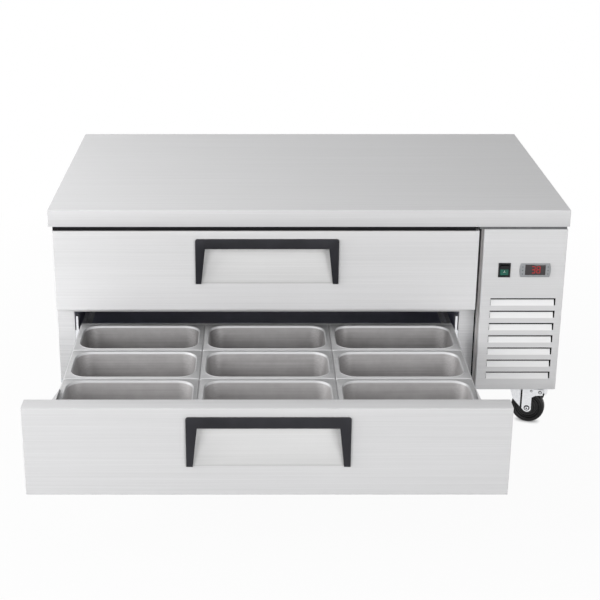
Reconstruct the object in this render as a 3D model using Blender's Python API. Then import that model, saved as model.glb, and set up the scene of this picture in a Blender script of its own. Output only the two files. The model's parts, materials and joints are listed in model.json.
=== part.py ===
# Refrigerated chef base: a low counter on casters with two insulated pan drawers,
# a louvred machine compartment at the right and a foamed worktop.
# Metres, +Z up, -Y towards the user, +X to the user's right.
import math

import bmesh
import bpy
from mathutils import Vector

# Clearances shared by all pieces
SEAM = 0.0003
RUNNING = 0.0004
OVERRUN = 0.010
SMOOTH_ANGLE = math.radians(40)
ROUND_PROFILE = 0.5

# Food pans, which set the width of the drawers
PAN_LENGTH = 0.325
PAN_WIDTH = 0.176
PAN_DEPTH = 0.100
FULL_PAN_LENGTH = 0.530
PAN_SHEET = 0.001
PAN_GAP = 0.002
PAN_COLUMNS = 3
PAN_ROWS = 3

# Drawer tray and telescopic runners
TRAY_SHEET = 0.0015
TRAY_CLEARANCE = 0.0017
TRAY_SIDE_ROOM = 0.015
RUNNER_STANDOFF = 0.014
RUNNER_THICKNESS = 0.0127
RUNNER_HEIGHT = 0.0457

# Cabinet
CASE_WALL = 0.0448
CASE_REAR_WALL = 0.045
COOLING_ROOM = 0.1085
LINER_SHEET = 0.001
FRAME_THICKNESS = 0.012
BAY_WIDTH = 0.211
SKIN = 0.0012

# Heights from the floor up
CASTER_HEIGHT = 0.122
CHASSIS_THICKNESS = 0.012
FLOOR_RAIL = 0.0393
LOWER_OPENING_LAP = 0.0612
MULLION_HEIGHT = 0.0423
UPPER_OPENING_LAP = 0.0393
TOP_RAIL = 0.0363
WORKTOP_THICKNESS = 0.044

# Drawer fronts
FRONT_HEIGHT = 0.214
FRONT_THICKNESS = 0.048
FRONT_GAP = 0.0116
FRONT_INSET = 0.007
FRONT_TO_PANEL = 0.0124
FRONT_SETBACK = 0.005
GASKET_THICKNESS = 0.010
GASKET_WIDTH = 0.011
GASKET_OVERLAP = 0.002
PAN_RIM_DROP = 0.051
PAN_START = 0.0535
TRAY_REAR = 0.016
HANDLE_PROJECTION = 0.0065
LOWER_DRAWER_OPEN = 0.575

# Worktop
WORKTOP_OVERHANG = 0.0025
WORKTOP_REAR_OVERHANG = 0.005
WORKTOP_EDGE = 0.0025

# Widths worked out from the pans outwards
pans_width = PAN_COLUMNS * PAN_LENGTH + (PAN_COLUMNS - 1) * PAN_GAP
pans_depth = PAN_ROWS * PAN_WIDTH + (PAN_ROWS - 1) * PAN_GAP
tray_width = pans_width + 2 * (TRAY_CLEARANCE + TRAY_SHEET)
opening_width = tray_width + 2 * TRAY_SIDE_ROOM
case_width = opening_width + 2 * CASE_WALL
body_width = case_width + BAY_WIDTH
worktop_width = body_width + 2 * WORKTOP_OVERHANG

case_left = -body_width / 2
case_right = case_left + case_width
body_right = body_width / 2
opening_left = case_left + CASE_WALL
opening_right = opening_left + opening_width
drawer_middle = (opening_left + opening_right) / 2

# Depths, with the worktop centred on zero; the cooling room is behind the shut drawers
tray_reach = PAN_START + pans_depth + TRAY_REAR
case_depth = tray_reach - GASKET_THICKNESS + COOLING_ROOM + CASE_REAR_WALL
worktop_depth = (FRONT_SETBACK + FRONT_THICKNESS + GASKET_THICKNESS + case_depth
                 + WORKTOP_REAR_OVERHANG)
face_y = -worktop_depth / 2 + FRONT_SETBACK
front_back_y = face_y + FRONT_THICKNESS
frame_y = front_back_y + GASKET_THICKNESS
case_y = frame_y + FRAME_THICKNESS + SEAM
rear_y = frame_y + case_depth
tray_rear = front_back_y + tray_reach

# Heights
chassis_top = CASTER_HEIGHT + CHASSIS_THICKNESS
case_bottom = chassis_top + SEAM
lower_bottom = case_bottom + FLOOR_RAIL
lower_top = lower_bottom + FRONT_HEIGHT - LOWER_OPENING_LAP
upper_bottom = lower_top + MULLION_HEIGHT
upper_top = upper_bottom + FRONT_HEIGHT - UPPER_OPENING_LAP
case_top = upper_top + TOP_RAIL
worktop_bottom = case_top + SEAM
worktop_top = worktop_bottom + WORKTOP_THICKNESS
fronts_middle = (lower_top + upper_bottom) / 2
lower_front_top = fronts_middle - FRONT_GAP / 2
lower_front_bottom = lower_front_top - FRONT_HEIGHT
upper_front_bottom = fronts_middle + FRONT_GAP / 2
upper_front_top = upper_front_bottom + FRONT_HEIGHT

# Right front panel
PANEL_LAP = 0.001
PANEL_RISE = 0.0045
panel_left = case_right - PANEL_LAP
panel_right = body_right
panel_bottom = lower_front_bottom
panel_top = upper_front_top + PANEL_RISE
panel_height = panel_top - panel_bottom
front_left = case_left + FRONT_INSET
front_right = panel_left - FRONT_TO_PANEL


# Scene and material helpers

def clear_scene():
    for item in list(bpy.data.objects):
        bpy.data.objects.remove(item, do_unlink=True)


def make_material(name, color, roughness, metallic):
    material = bpy.data.materials.new(name)
    material.use_nodes = True
    shader = material.node_tree.nodes["Principled BSDF"]
    shader.inputs["Base Color"].default_value = (*color, 1)
    shader.inputs["Roughness"].default_value = roughness
    shader.inputs["Metallic"].default_value = metallic
    material.diffuse_color = (*color, 1)
    return material


def make_root():
    """The empty that stands the whole object on the middle of its footprint."""
    front = face_y - LOWER_DRAWER_OPEN - HANDLE_PROJECTION - SEAM
    rear = worktop_depth / 2
    root = bpy.data.objects.new("root", None)
    bpy.context.collection.objects.link(root)
    root.location = (0, -(front + rear) / 2, 0)
    return root


def mesh_from(shape, name):
    mesh = bpy.data.meshes.new(name)
    bmesh.ops.recalc_face_normals(shape, faces=shape.faces)
    shape.to_mesh(mesh)
    shape.free()
    return mesh


def place(name, mesh, material, location=(0, 0, 0), turn=0, smooth=False):
    """Link one named piece; its location is its joint's axis where it moves."""
    item = bpy.data.objects.new(name, mesh)
    if not mesh.materials:
        mesh.materials.append(material)
    if smooth:
        mesh.shade_smooth()
        mesh.set_sharp_from_angle(angle=SMOOTH_ANGLE)
    item.location = location
    item.rotation_euler = (0, 0, turn)
    item.parent = ROOT
    bpy.context.collection.objects.link(item)
    return item


def add(name, shape, material, pivot=(0, 0, 0), turn=0, smooth=False):
    """Make a piece from a shape modelled in place, with its origin at the pivot."""
    bmesh.ops.translate(shape, verts=shape.verts, vec=-Vector(pivot))
    return place(name, mesh_from(shape, name), material, pivot, turn, smooth)


# Shape helpers: each returns a bmesh

def loft(loops, closed=False):
    shape = bmesh.new()
    rows = [[shape.verts.new(point) for point in loop] for loop in loops]
    pairs = list(zip(rows, rows[1:]))
    if closed:
        pairs.append((rows[-1], rows[0]))
    count = len(rows[0])
    for near, far in pairs:
        for i in range(count):
            j = (i + 1) % count
            shape.faces.new((near[i], near[j], far[j], far[i]))
    if not closed:
        shape.faces.new(rows[0])
        shape.faces.new(rows[-1])
    bmesh.ops.recalc_face_normals(shape, faces=shape.faces)
    return shape


def on_axis(axis, along, first, second):
    """A point from its place along an axis and its two other coordinates."""
    if axis == "X":
        return Vector((along, first, second))
    if axis == "Y":
        return Vector((first, along, second))
    return Vector((first, second, along))


def prism(outline, axis, start, end):
    return loft([[on_axis(axis, along, a, b) for a, b in outline] for along in (start, end)])


def block(low, high):
    return prism([(low[0], low[1]), (high[0], low[1]), (high[0], high[1]), (low[0], high[1])],
                 "Z", low[2], high[2])


def turned(profile, centre, axis, steps, ring=False):
    """Revolve (radius, along) points; a ring's profile closes on itself."""
    middle = Vector(centre)
    loops = []
    for radius, along in profile:
        angles = [2 * math.pi * step / steps for step in range(steps)]
        loops.append([middle + on_axis(axis, along, radius * math.cos(angle), radius * math.sin(angle))
                      for angle in angles])
    return loft(loops, closed=ring)


def rounded_rectangle(width, height, radius, steps):
    points = []
    for quarter in range(4):
        turn = quarter * math.pi / 2
        side_x = 1 if quarter in (0, 3) else -1
        side_y = 1 if quarter in (0, 1) else -1
        for step in range(steps + 1):
            angle = turn + step / steps * math.pi / 2
            points.append((side_x * (width / 2 - radius) + radius * math.cos(angle),
                           side_y * (height / 2 - radius) + radius * math.sin(angle)))
    return points


def rectangle(left, right, bottom, top):
    return [(left, bottom), (right, bottom), (right, top), (left, top)]


def sheet_outline(path, thickness):
    """The outline of bent sheet: the path is one face, the other lies to its left."""
    offset = []
    for i, point in enumerate(path):
        here = Vector(point)
        before = (here - Vector(path[i - 1])).normalized() if i > 0 else None
        after = (Vector(path[i + 1]) - here).normalized() if i < len(path) - 1 else None
        before = before or after
        after = after or before
        normal = Vector((-before.y - after.y, before.x + after.x)).normalized()
        share = normal.dot(Vector((-before.y, before.x)))
        offset.append(tuple(here + normal * thickness / share))
    return list(path) + offset[::-1]


def open_box(axis_low, axis_high, left, right, bottom, top, wall, back_wall):
    """A box open towards -Y, from axis_low at its mouth to axis_high at its back."""
    outer = rectangle(left, right, bottom, top)
    inner = rectangle(left + wall, right - wall, bottom + wall, top - wall)
    return loft([[on_axis("Y", axis_high, x, z) for x, z in outer],
                 [on_axis("Y", axis_low, x, z) for x, z in outer],
                 [on_axis("Y", axis_low, x, z) for x, z in inner],
                 [on_axis("Y", axis_high - back_wall, x, z) for x, z in inner]])


def merged(shapes):
    """Several shapes that don't touch, as one helper for a cut or a join."""
    whole = bmesh.new()
    for shape in shapes:
        part = bpy.data.meshes.new("part")
        shape.to_mesh(part)
        shape.free()
        whole.from_mesh(part)
        bpy.data.meshes.remove(part)
    return whole


def combined(base, joins=(), cuts=(), keeps=()):
    """The base as far as it is inside each keep, with each join fused on and each cut taken away."""
    target = bpy.data.objects.new("target", mesh_from(base, "target"))
    helpers = [target]
    for operation, shapes in (("INTERSECT", keeps), ("UNION", joins), ("DIFFERENCE", cuts)):
        for shape in shapes:
            helper = bpy.data.objects.new("helper", mesh_from(shape, "helper"))
            helpers.append(helper)
            modifier = target.modifiers.new(operation, "BOOLEAN")
            modifier.operation = operation
            modifier.solver = "EXACT"
            modifier.object = helper
    for helper in helpers:
        bpy.context.collection.objects.link(helper)
    bpy.context.view_layer.update()
    view = bpy.context.evaluated_depsgraph_get()
    result = bpy.data.meshes.new_from_object(target.evaluated_get(view))
    whole = bmesh.new()
    whole.from_mesh(result)
    meshes = [helper.data for helper in helpers]
    for helper in helpers:
        bpy.data.objects.remove(helper, do_unlink=True)
    for mesh in meshes + [result]:
        bpy.data.meshes.remove(mesh)
    return whole


def bevelled(shape, width, segments, wanted=None):
    edges = [edge for edge in shape.edges if wanted is None or wanted(edge)]
    bmesh.ops.bevel(shape, geom=edges, offset=width, segments=segments, profile=ROUND_PROFILE,
                    affect="EDGES", clamp_overlap=True)
    return shape


# Cabinet body

def make_worktop():
    shape = block((-worktop_width / 2, -worktop_depth / 2, worktop_bottom),
                  (worktop_width / 2, worktop_depth / 2, worktop_top))
    add("worktop", bevelled(shape, WORKTOP_EDGE, 2), STEEL)


def make_case():
    """The foamed case of the cold compartment, open at the front."""
    liner_room = LINER_SHEET + SEAM
    shape = loft([[on_axis("Y", y, x, z) for x, z in outline] for y, outline in (
        (rear_y, rectangle(case_left, case_right, case_bottom, case_top)),
        (case_y, rectangle(case_left, case_right, case_bottom, case_top)),
        (case_y, rectangle(opening_left - liner_room, opening_right + liner_room,
                           lower_bottom - liner_room, upper_top + liner_room)),
        (rear_y - CASE_REAR_WALL, rectangle(opening_left - liner_room, opening_right + liner_room,
                                            lower_bottom - liner_room, upper_top + liner_room)))])
    add("insulated_case", shape, STEEL)


def make_liner():
    shape = open_box(case_y, rear_y - CASE_REAR_WALL - SEAM,
                     opening_left - LINER_SHEET, opening_right + LINER_SHEET,
                     lower_bottom - LINER_SHEET, upper_top + LINER_SHEET, LINER_SHEET, LINER_SHEET)
    add("inner_liner", shape, LINER_STEEL)


MULLION_DEPTH = 0.030


def make_face_frame():
    """The frame that the gaskets close on, with the deeper bar between the drawers."""
    frame_back = frame_y + FRAME_THICKNESS
    plate = block((case_left, frame_y, case_bottom), (case_right, frame_back, case_top))
    low, high = frame_y - OVERRUN, frame_back + OVERRUN
    lower = block((opening_left, low, lower_bottom), (opening_right, high, lower_top))
    upper = block((opening_left, low, upper_bottom), (opening_right, high, upper_top))
    bar = block((opening_left + SEAM, frame_back - SEAM, lower_top),
                (opening_right - SEAM, frame_y + MULLION_DEPTH, upper_bottom))
    add("face_frame", combined(plate, joins=[bar], cuts=[lower, upper]), STEEL)


CHASSIS_LAND = 0.130
CHASSIS_RECESS = 0.006


def make_chassis():
    """The base frame, with two shallow recesses between its caster lands."""
    plate = block((case_left, frame_y, CASTER_HEIGHT), (body_right, rear_y, chassis_top))
    recess_low = CASTER_HEIGHT - OVERRUN
    recess_high = CASTER_HEIGHT + CHASSIS_RECESS
    middle = (case_left + body_right) / 2
    recesses = [block((left, frame_y + CHASSIS_LAND, recess_low),
                      (right, rear_y - CHASSIS_LAND, recess_high))
                for left, right in ((case_left + CHASSIS_LAND, middle - CHASSIS_LAND / 2),
                                    (middle + CHASSIS_LAND / 2, body_right - CHASSIS_LAND))]
    add("chassis", combined(plate, cuts=[merged(recesses)]), GALVANISED)


# Right front panel with its pressed louvres

LOUVRE_COUNT = 7
LOUVRE_TOP_SHARE = 0.4193
LOUVRE_PITCH_SHARE = 0.07746
LOUVRE_HEIGHT_SHARE = 0.5843
LOUVRE_RISE_SHARE = 0.771
LOUVRE_LEFT_MARGIN = 0.0256
LOUVRE_RIGHT_MARGIN = 0.018
LOUVRE_SIDE_GAP = 0.0015
LOUVRE_LEAN = 0.006
CONTROLS_SHARE = 0.2457
SWITCH_WIDTH = 0.031
SWITCH_HEIGHT = 0.0385
SWITCH_MARGIN = 0.041
SWITCH_FLANGE = 0.002
CONTROLLER_WIDTH = 0.0795
CONTROLLER_HEIGHT = 0.0365
CONTROLLER_MARGIN = 0.0955
CONTROLLER_FLANGE = 0.0035

controls_z = panel_top - CONTROLS_SHARE * panel_height
louvre_left = panel_left + LOUVRE_LEFT_MARGIN
louvre_right = panel_right - LOUVRE_RIGHT_MARGIN
louvre_pitch = LOUVRE_PITCH_SHARE * panel_height
louvre_height = LOUVRE_HEIGHT_SHARE * louvre_pitch
louvre_rise = LOUVRE_RISE_SHARE * louvre_height
switch_x = panel_left + SWITCH_MARGIN + SWITCH_WIDTH / 2
controller_x = panel_left + CONTROLLER_MARGIN + CONTROLLER_WIDTH / 2


def louvre_bottom(index):
    return panel_top - LOUVRE_TOP_SHARE * panel_height - index * louvre_pitch - louvre_height


def make_front_panel():
    """A pressed pan with lanced louvres: each slat leans in from its slot's lower edge."""
    outer = rectangle(panel_left, panel_right, panel_bottom, panel_top)
    inner = rectangle(panel_left + SKIN, panel_right - SKIN, panel_bottom + SKIN, panel_top - SKIN)
    back = frame_y - SEAM
    pan = loft([[on_axis("Y", y, x, z) for x, z in outline] for y, outline in (
        (face_y + SKIN, inner), (back, inner), (back, outer), (face_y, outer))])
    slots = []
    slats = []
    for index in range(LOUVRE_COUNT):
        low = louvre_bottom(index)
        slots.append(block((louvre_left, face_y - OVERRUN, low),
                           (louvre_right, face_y + SKIN + OVERRUN, low + louvre_height)))
        profile = [(face_y, low - SKIN), (face_y + SKIN, low - SKIN), (face_y + SKIN, low),
                   (face_y + LOUVRE_LEAN + SKIN, low + louvre_rise),
                   (face_y + LOUVRE_LEAN, low + louvre_rise), (face_y, low)]
        slats.append(prism(profile, "X", louvre_left + LOUVRE_SIDE_GAP, louvre_right - LOUVRE_SIDE_GAP))
    switch_hole = block((switch_x - SWITCH_WIDTH / 2 + SWITCH_FLANGE, face_y - OVERRUN,
                         controls_z - SWITCH_HEIGHT / 2 + SWITCH_FLANGE),
                        (switch_x + SWITCH_WIDTH / 2 - SWITCH_FLANGE, face_y + OVERRUN,
                         controls_z + SWITCH_HEIGHT / 2 - SWITCH_FLANGE))
    controller_hole = block((controller_x - CONTROLLER_WIDTH / 2 + CONTROLLER_FLANGE, face_y - OVERRUN,
                             controls_z - CONTROLLER_HEIGHT / 2 + CONTROLLER_FLANGE),
                            (controller_x + CONTROLLER_WIDTH / 2 - CONTROLLER_FLANGE, face_y + OVERRUN,
                             controls_z + CONTROLLER_HEIGHT / 2 - CONTROLLER_FLANGE))
    cut = combined(pan, cuts=[merged(slots + [switch_hole, controller_hole])])
    add("front_louvre_panel", combined(cut, joins=[merged(slats)]), STEEL)


# Side and rear cover of the machine compartment

COVER_RETURN = 0.016
REAR_SLOT_COUNT = 9
REAR_SLOT_HEIGHT = 0.008
REAR_SLOT_PITCH = 0.030
REAR_SLOT_MARGIN = 0.030
REAR_SLOT_START = 0.050


def make_bay_cover():
    path = [(body_right - COVER_RETURN, frame_y), (body_right, frame_y),
            (body_right, rear_y), (case_right + SEAM, rear_y)]
    cover = prism(sheet_outline(path, SKIN), "Z", case_bottom, case_top)
    slots = [block((case_right + REAR_SLOT_MARGIN, rear_y - OVERRUN,
                    case_bottom + REAR_SLOT_START + index * REAR_SLOT_PITCH),
                   (body_right - REAR_SLOT_MARGIN, rear_y + OVERRUN,
                    case_bottom + REAR_SLOT_START + index * REAR_SLOT_PITCH + REAR_SLOT_HEIGHT))
             for index in range(REAR_SLOT_COUNT)]
    add("bay_cover", combined(cover, cuts=[merged(slots)]), STEEL)


# Controls

CONTROLLER_PROUD = 0.0035
CONTROLLER_BODY = 0.050
CONTROLLER_BULGE = 0.003
WINDOW_WIDTH = 0.0525
WINDOW_HEIGHT = 0.029
WINDOW_DEPTH = 0.0008
SWITCH_PROUD = 0.0022
SWITCH_BODY = 0.026
SWITCH_RIM = 0.004
ROCKER_TILT = math.radians(9)
ROCKER_SINK = 0.0045
ROCKER_FACE = 0.004
ROCKER_BACK = 0.0025
ROCKER_SWEEP = 0.0018
PIVOT_PIN = 0.0015


def make_controller():
    """A panel thermostat: bulged bezel, recessed window and the body behind the panel."""
    half_x, half_z = CONTROLLER_WIDTH / 2 - CONTROLLER_BULGE, CONTROLLER_HEIGHT / 2
    outline = []
    steps = 6
    for side in (1, -1):
        for step in range(steps + 1):
            share = 2 * step / steps - 1
            bulge = CONTROLLER_BULGE * (1 - share * share)
            outline.append((controller_x + side * (half_x + bulge), controls_z + side * share * half_z))
    bezel = prism(outline, "Y", face_y - CONTROLLER_PROUD, face_y - SEAM)
    room = CONTROLLER_FLANGE + SEAM
    body = block((controller_x - CONTROLLER_WIDTH / 2 + room, face_y - CONTROLLER_PROUD / 2,
                  controls_z - CONTROLLER_HEIGHT / 2 + room),
                 (controller_x + CONTROLLER_WIDTH / 2 - room, face_y + CONTROLLER_BODY,
                  controls_z + CONTROLLER_HEIGHT / 2 - room))
    window = block((controller_x - WINDOW_WIDTH / 2, face_y - CONTROLLER_PROUD - OVERRUN,
                    controls_z - WINDOW_HEIGHT / 2),
                   (controller_x + WINDOW_WIDTH / 2, face_y - CONTROLLER_PROUD + WINDOW_DEPTH,
                    controls_z + WINDOW_HEIGHT / 2))
    add("controller", combined(bezel, joins=[body], cuts=[window]), GREY_PLASTIC)


def make_switch():
    room = SWITCH_FLANGE + SEAM
    flange = block((switch_x - SWITCH_WIDTH / 2, face_y - SWITCH_PROUD, controls_z - SWITCH_HEIGHT / 2),
                   (switch_x + SWITCH_WIDTH / 2, face_y - SEAM, controls_z + SWITCH_HEIGHT / 2))
    body = block((switch_x - SWITCH_WIDTH / 2 + room, face_y - SWITCH_PROUD / 2,
                  controls_z - SWITCH_HEIGHT / 2 + room),
                 (switch_x + SWITCH_WIDTH / 2 - room, face_y + SWITCH_BODY,
                  controls_z + SWITCH_HEIGHT / 2 - room))
    wall = SWITCH_RIM + SEAM
    well = block((switch_x - SWITCH_WIDTH / 2 + wall, face_y - SWITCH_PROUD - OVERRUN,
                  controls_z - SWITCH_HEIGHT / 2 + wall),
                 (switch_x + SWITCH_WIDTH / 2 - wall, face_y + SWITCH_BODY - SWITCH_RIM,
                  controls_z + SWITCH_HEIGHT / 2 - wall))
    pivot = (switch_x, face_y - SWITCH_PROUD + ROCKER_SINK, controls_z)
    well_half = SWITCH_WIDTH / 2 - wall
    body_half = SWITCH_WIDTH / 2 - room
    pin_reach = (well_half + body_half) / 2
    pin_hole = turned([(PIVOT_PIN + RUNNING, -pin_reach - SEAM), (PIVOT_PIN + RUNNING, pin_reach + SEAM)],
                      pivot, "X", 12)
    add("switch_bezel", combined(flange, joins=[body], cuts=[well, pin_hole]), BLACK_PLASTIC)
    rocker = rocker_shape(pivot, well_half - RUNNING, SWITCH_HEIGHT / 2 - wall - ROCKER_SWEEP)
    pin = turned([(PIVOT_PIN, -pin_reach), (PIVOT_PIN, pin_reach)], pivot, "X", 12)
    add("power_rocker", combined(rocker, joins=[pin]), SWITCH_PLASTIC, pivot)


def rocker_shape(pivot, half_width, reach):
    """A rocker with a shallow valley across its face, tipped so that its lower half is in."""
    rise = reach * math.tan(ROCKER_TILT)
    profile = [(-ROCKER_FACE, 0), (-ROCKER_FACE - rise, reach), (ROCKER_BACK, reach),
               (ROCKER_BACK, -reach), (-ROCKER_FACE - rise, -reach)]
    cos, sin = math.cos(ROCKER_TILT), math.sin(ROCKER_TILT)
    tipped = [(pivot[1] + y * cos - z * sin, pivot[2] + y * sin + z * cos) for y, z in profile]
    return prism(tipped, "X", pivot[0] - half_width, pivot[0] + half_width)


# Refrigeration machinery

COMPRESSOR_RADIUS = 0.072
COMPRESSOR_HEIGHT = 0.165
COMPRESSOR_SETBACK = 0.420
COMPRESSOR_FOOT = 0.003
COMPRESSOR_FOOT_LENGTH = 0.190
COMPRESSOR_FOOT_WIDTH = 0.130
GROMMET_HEIGHT = 0.014
GROMMET_RADIUS = 0.011
GROMMET_INSET = 0.016
TERMINAL_BOX = 0.055
COIL_MARGIN = 0.0125
COIL_HEIGHT = 0.250
COIL_DEPTH = 0.060
COIL_SETBACK = 0.055
FIN_COUNT = 14
FIN_GROOVE_DEPTH = 0.020
FIN_GROOVE_SHARE = 0.55
FAN_RADIUS = 0.070
FAN_HUB = 0.020
FAN_HUB_LENGTH = 0.018
FAN_BLADES = 5
FAN_PITCH = math.radians(32)
BLADE_SHEET = 0.0018
SHROUD_SHEET = 0.003
VENTURI_LENGTH = 0.026
VENTURI_WALL = 0.003
MOTOR_RADIUS = 0.028
MOTOR_LENGTH = 0.045
MOTOR_NOSE_SHARE = 0.8
ARM_WIDTH = 0.010
ARM_SHEET = 0.004
SHAFT_RADIUS = 0.003

bay_middle = (case_right + body_right) / 2
coil_width = BAY_WIDTH - 2 * COIL_MARGIN


def make_compressor():
    """A welded pot on a foot plate with four mounting bosses and its terminal box."""
    centre = (bay_middle, frame_y + COMPRESSOR_SETBACK, chassis_top + SEAM)
    foot_z = GROMMET_HEIGHT
    dome_shares = ((0.45, 0.0), (0.80, 0.04), (0.97, 0.13), (1.0, 0.24), (1.0, 0.50), (1.04, 0.51),
                   (1.04, 0.55), (1.0, 0.56), (0.97, 0.84), (0.82, 0.94), (0.50, 0.99), (0.20, 1.0))
    pot = turned([(COMPRESSOR_RADIUS * r, foot_z + COMPRESSOR_HEIGHT * h) for r, h in dome_shares],
                 centre, "Z", 16)
    x, y, z = centre
    foot = rounded_rectangle(COMPRESSOR_FOOT_WIDTH, COMPRESSOR_FOOT_LENGTH, GROMMET_INSET, 3)
    plate = prism([(x + a, y + b) for a, b in foot], "Z", z + foot_z, z + foot_z + COMPRESSOR_FOOT)
    bosses = [turned([(GROMMET_RADIUS, 0), (GROMMET_RADIUS, foot_z + COMPRESSOR_FOOT / 2)],
                     (x + side_x * (COMPRESSOR_FOOT_WIDTH / 2 - GROMMET_INSET),
                      y + side_y * (COMPRESSOR_FOOT_LENGTH / 2 - GROMMET_INSET), z), "Z", 12)
              for side_x in (-1, 1) for side_y in (-1, 1)]
    box_z = z + foot_z + COMPRESSOR_HEIGHT / 3
    box = block((x - TERMINAL_BOX / 2, y - COMPRESSOR_RADIUS - TERMINAL_BOX / 3, box_z),
                (x + TERMINAL_BOX / 2, y - COMPRESSOR_RADIUS / 2, box_z + TERMINAL_BOX))
    add("compressor", combined(pot, joins=[plate, merged(bosses), box]), BLACK_METAL, smooth=True)


def comb_outline(left, right, front, back, count, groove):
    """The plan of a finned block: grooves from both faces leave fins on a core."""
    pitch = (right - left) / count
    points = []
    for index in range(count):
        x = left + index * pitch
        gap = pitch * FIN_GROOVE_SHARE
        edge = (pitch - gap) / 2
        points += [(x, front), (x + edge, front), (x + edge, front + groove),
                   (x + edge + gap, front + groove), (x + edge + gap, front)]
    points.append((right, front))
    return points + [(x, back - (y - front)) for x, y in points[::-1]]


def make_condenser():
    front = frame_y + COIL_SETBACK
    outline = comb_outline(bay_middle - coil_width / 2, bay_middle + coil_width / 2,
                           front, front + COIL_DEPTH, FIN_COUNT, FIN_GROOVE_DEPTH)
    bottom = chassis_top + SEAM
    add("condenser_coil", prism(outline, "Z", bottom, bottom + COIL_HEIGHT), ALUMINIUM)


def fan_mount(centre, width, height, motor_length):
    """A shroud plate with its venturi ring and, past the fan, a motor on four arms, along +Y."""
    x, z = centre
    left, bottom = x - width / 2, z - height / 2
    plate = block((left, 0, bottom), (left + width, SHROUD_SHEET, bottom + height))
    bore = FAN_RADIUS + VENTURI_WALL
    axis = (x, 0, z)
    ring = turned([(bore, 0), (bore + VENTURI_WALL, 0), (bore + VENTURI_WALL, VENTURI_LENGTH),
                   (bore, VENTURI_LENGTH)], axis, "Y", 24, ring=True)
    hole = turned([(bore, -OVERRUN), (bore, VENTURI_LENGTH + OVERRUN)], axis, "Y", 24)
    motor_start = VENTURI_LENGTH - ARM_SHEET
    motor = turned([(MOTOR_RADIUS * MOTOR_NOSE_SHARE, motor_start), (MOTOR_RADIUS, motor_start + ARM_SHEET),
                    (MOTOR_RADIUS, motor_start + motor_length - ARM_SHEET),
                    (MOTOR_RADIUS * MOTOR_NOSE_SHARE, motor_start + motor_length)], axis, "Y", 16)
    shaft = turned([(SHAFT_RADIUS, 0), (SHAFT_RADIUS, motor_start + ARM_SHEET)], axis, "Y", 8)
    reach = bore + VENTURI_WALL / 2
    arms = [block((x - reach, motor_start, z - ARM_WIDTH / 2),
                  (x + reach, VENTURI_LENGTH - SEAM, z + ARM_WIDTH / 2)),
            block((x - ARM_WIDTH / 2, motor_start + SEAM, z - reach),
                  (x + ARM_WIDTH / 2, VENTURI_LENGTH - 2 * SEAM, z + reach))]
    ringed = combined(combined(plate, cuts=[hole]), joins=[ring])
    return combined(ringed, joins=[motor] + arms + [shaft])


def set_along(shape, start, way):
    """Move a shape modelled from zero along +Y to its start, mirrored where way is -1."""
    for vert in shape.verts:
        vert.co.y = start + way * vert.co.y
    bmesh.ops.recalc_face_normals(shape, faces=shape.faces)
    return shape


def fan_shape(centre):
    """A hub with twisted blades, turning on the motor's shaft."""
    x, z = centre
    hub_low = SHROUD_SHEET
    hub_high = hub_low + FAN_HUB_LENGTH
    hub = turned([(FAN_HUB, hub_low), (FAN_HUB, hub_high), (SHAFT_RADIUS + RUNNING, hub_high),
                  (SHAFT_RADIUS + RUNNING, hub_low)], (x, 0, z), "Y", 16, ring=True)
    middle = (hub_low + hub_high) / 2
    blades = []
    radius_shares = (0.22, 0.6, 1.0)
    chord_shares = (0.30, 0.44, 0.52)
    twist_shares = (1.25, 1.0, 0.8)
    for blade in range(FAN_BLADES):
        angle = 2 * math.pi * blade / FAN_BLADES
        loops = []
        for r_share, c_share, t_share in zip(radius_shares, chord_shares, twist_shares):
            radius = FAN_RADIUS * r_share
            chord = FAN_RADIUS * c_share
            pitch = FAN_PITCH * t_share
            loop = []
            for along, across in ((-1, -1), (1, -1), (1, 1), (-1, 1)):
                swing = along * chord / 2 * math.cos(pitch) + across * BLADE_SHEET / 2 * math.sin(pitch)
                rise = along * chord / 2 * math.sin(pitch) - across * BLADE_SHEET / 2 * math.cos(pitch)
                loop.append(Vector((x + radius * math.cos(angle) - swing * math.sin(angle),
                                    middle + rise,
                                    z + radius * math.sin(angle) + swing * math.cos(angle))))
            loops.append(loop)
        blades.append(loft(loops))
    return combined(hub, joins=blades)


FAN_ABOVE_CHASSIS = 0.128

condenser_fan_y = frame_y + COIL_SETBACK + COIL_DEPTH + SEAM
condenser_fan_centre = (bay_middle, chassis_top + FAN_ABOVE_CHASSIS)


def make_condenser_fan():
    height = 2 * (FAN_ABOVE_CHASSIS - SEAM)
    mount = fan_mount(condenser_fan_centre, coil_width, height, MOTOR_LENGTH)
    add("condenser_fan_shroud", set_along(mount, condenser_fan_y, 1), GALVANISED)
    pivot = (condenser_fan_centre[0], condenser_fan_y, condenser_fan_centre[1])
    add("condenser_fan", set_along(fan_shape(condenser_fan_centre), condenser_fan_y, 1), ALUMINIUM, pivot)


EVAPORATOR_WIDTH = 0.560
EVAPORATOR_HEIGHT = 0.190
EVAPORATOR_DEPTH = 0.024
EVAPORATOR_FIN_COUNT = 14
EVAPORATOR_GROOVE = 0.008
EVAPORATOR_MOTOR = 0.030
EVAPORATOR_FAN_SHARE = 0.3125
FAN_PLATE_WIDTH = 0.185

evaporator_back = rear_y - CASE_REAR_WALL - 2 * SEAM - LINER_SHEET
evaporator_front = evaporator_back - EVAPORATOR_DEPTH
evaporator_z = (lower_bottom + upper_top) / 2
evaporator_fan_x = drawer_middle + EVAPORATOR_FAN_SHARE * EVAPORATOR_WIDTH


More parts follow.
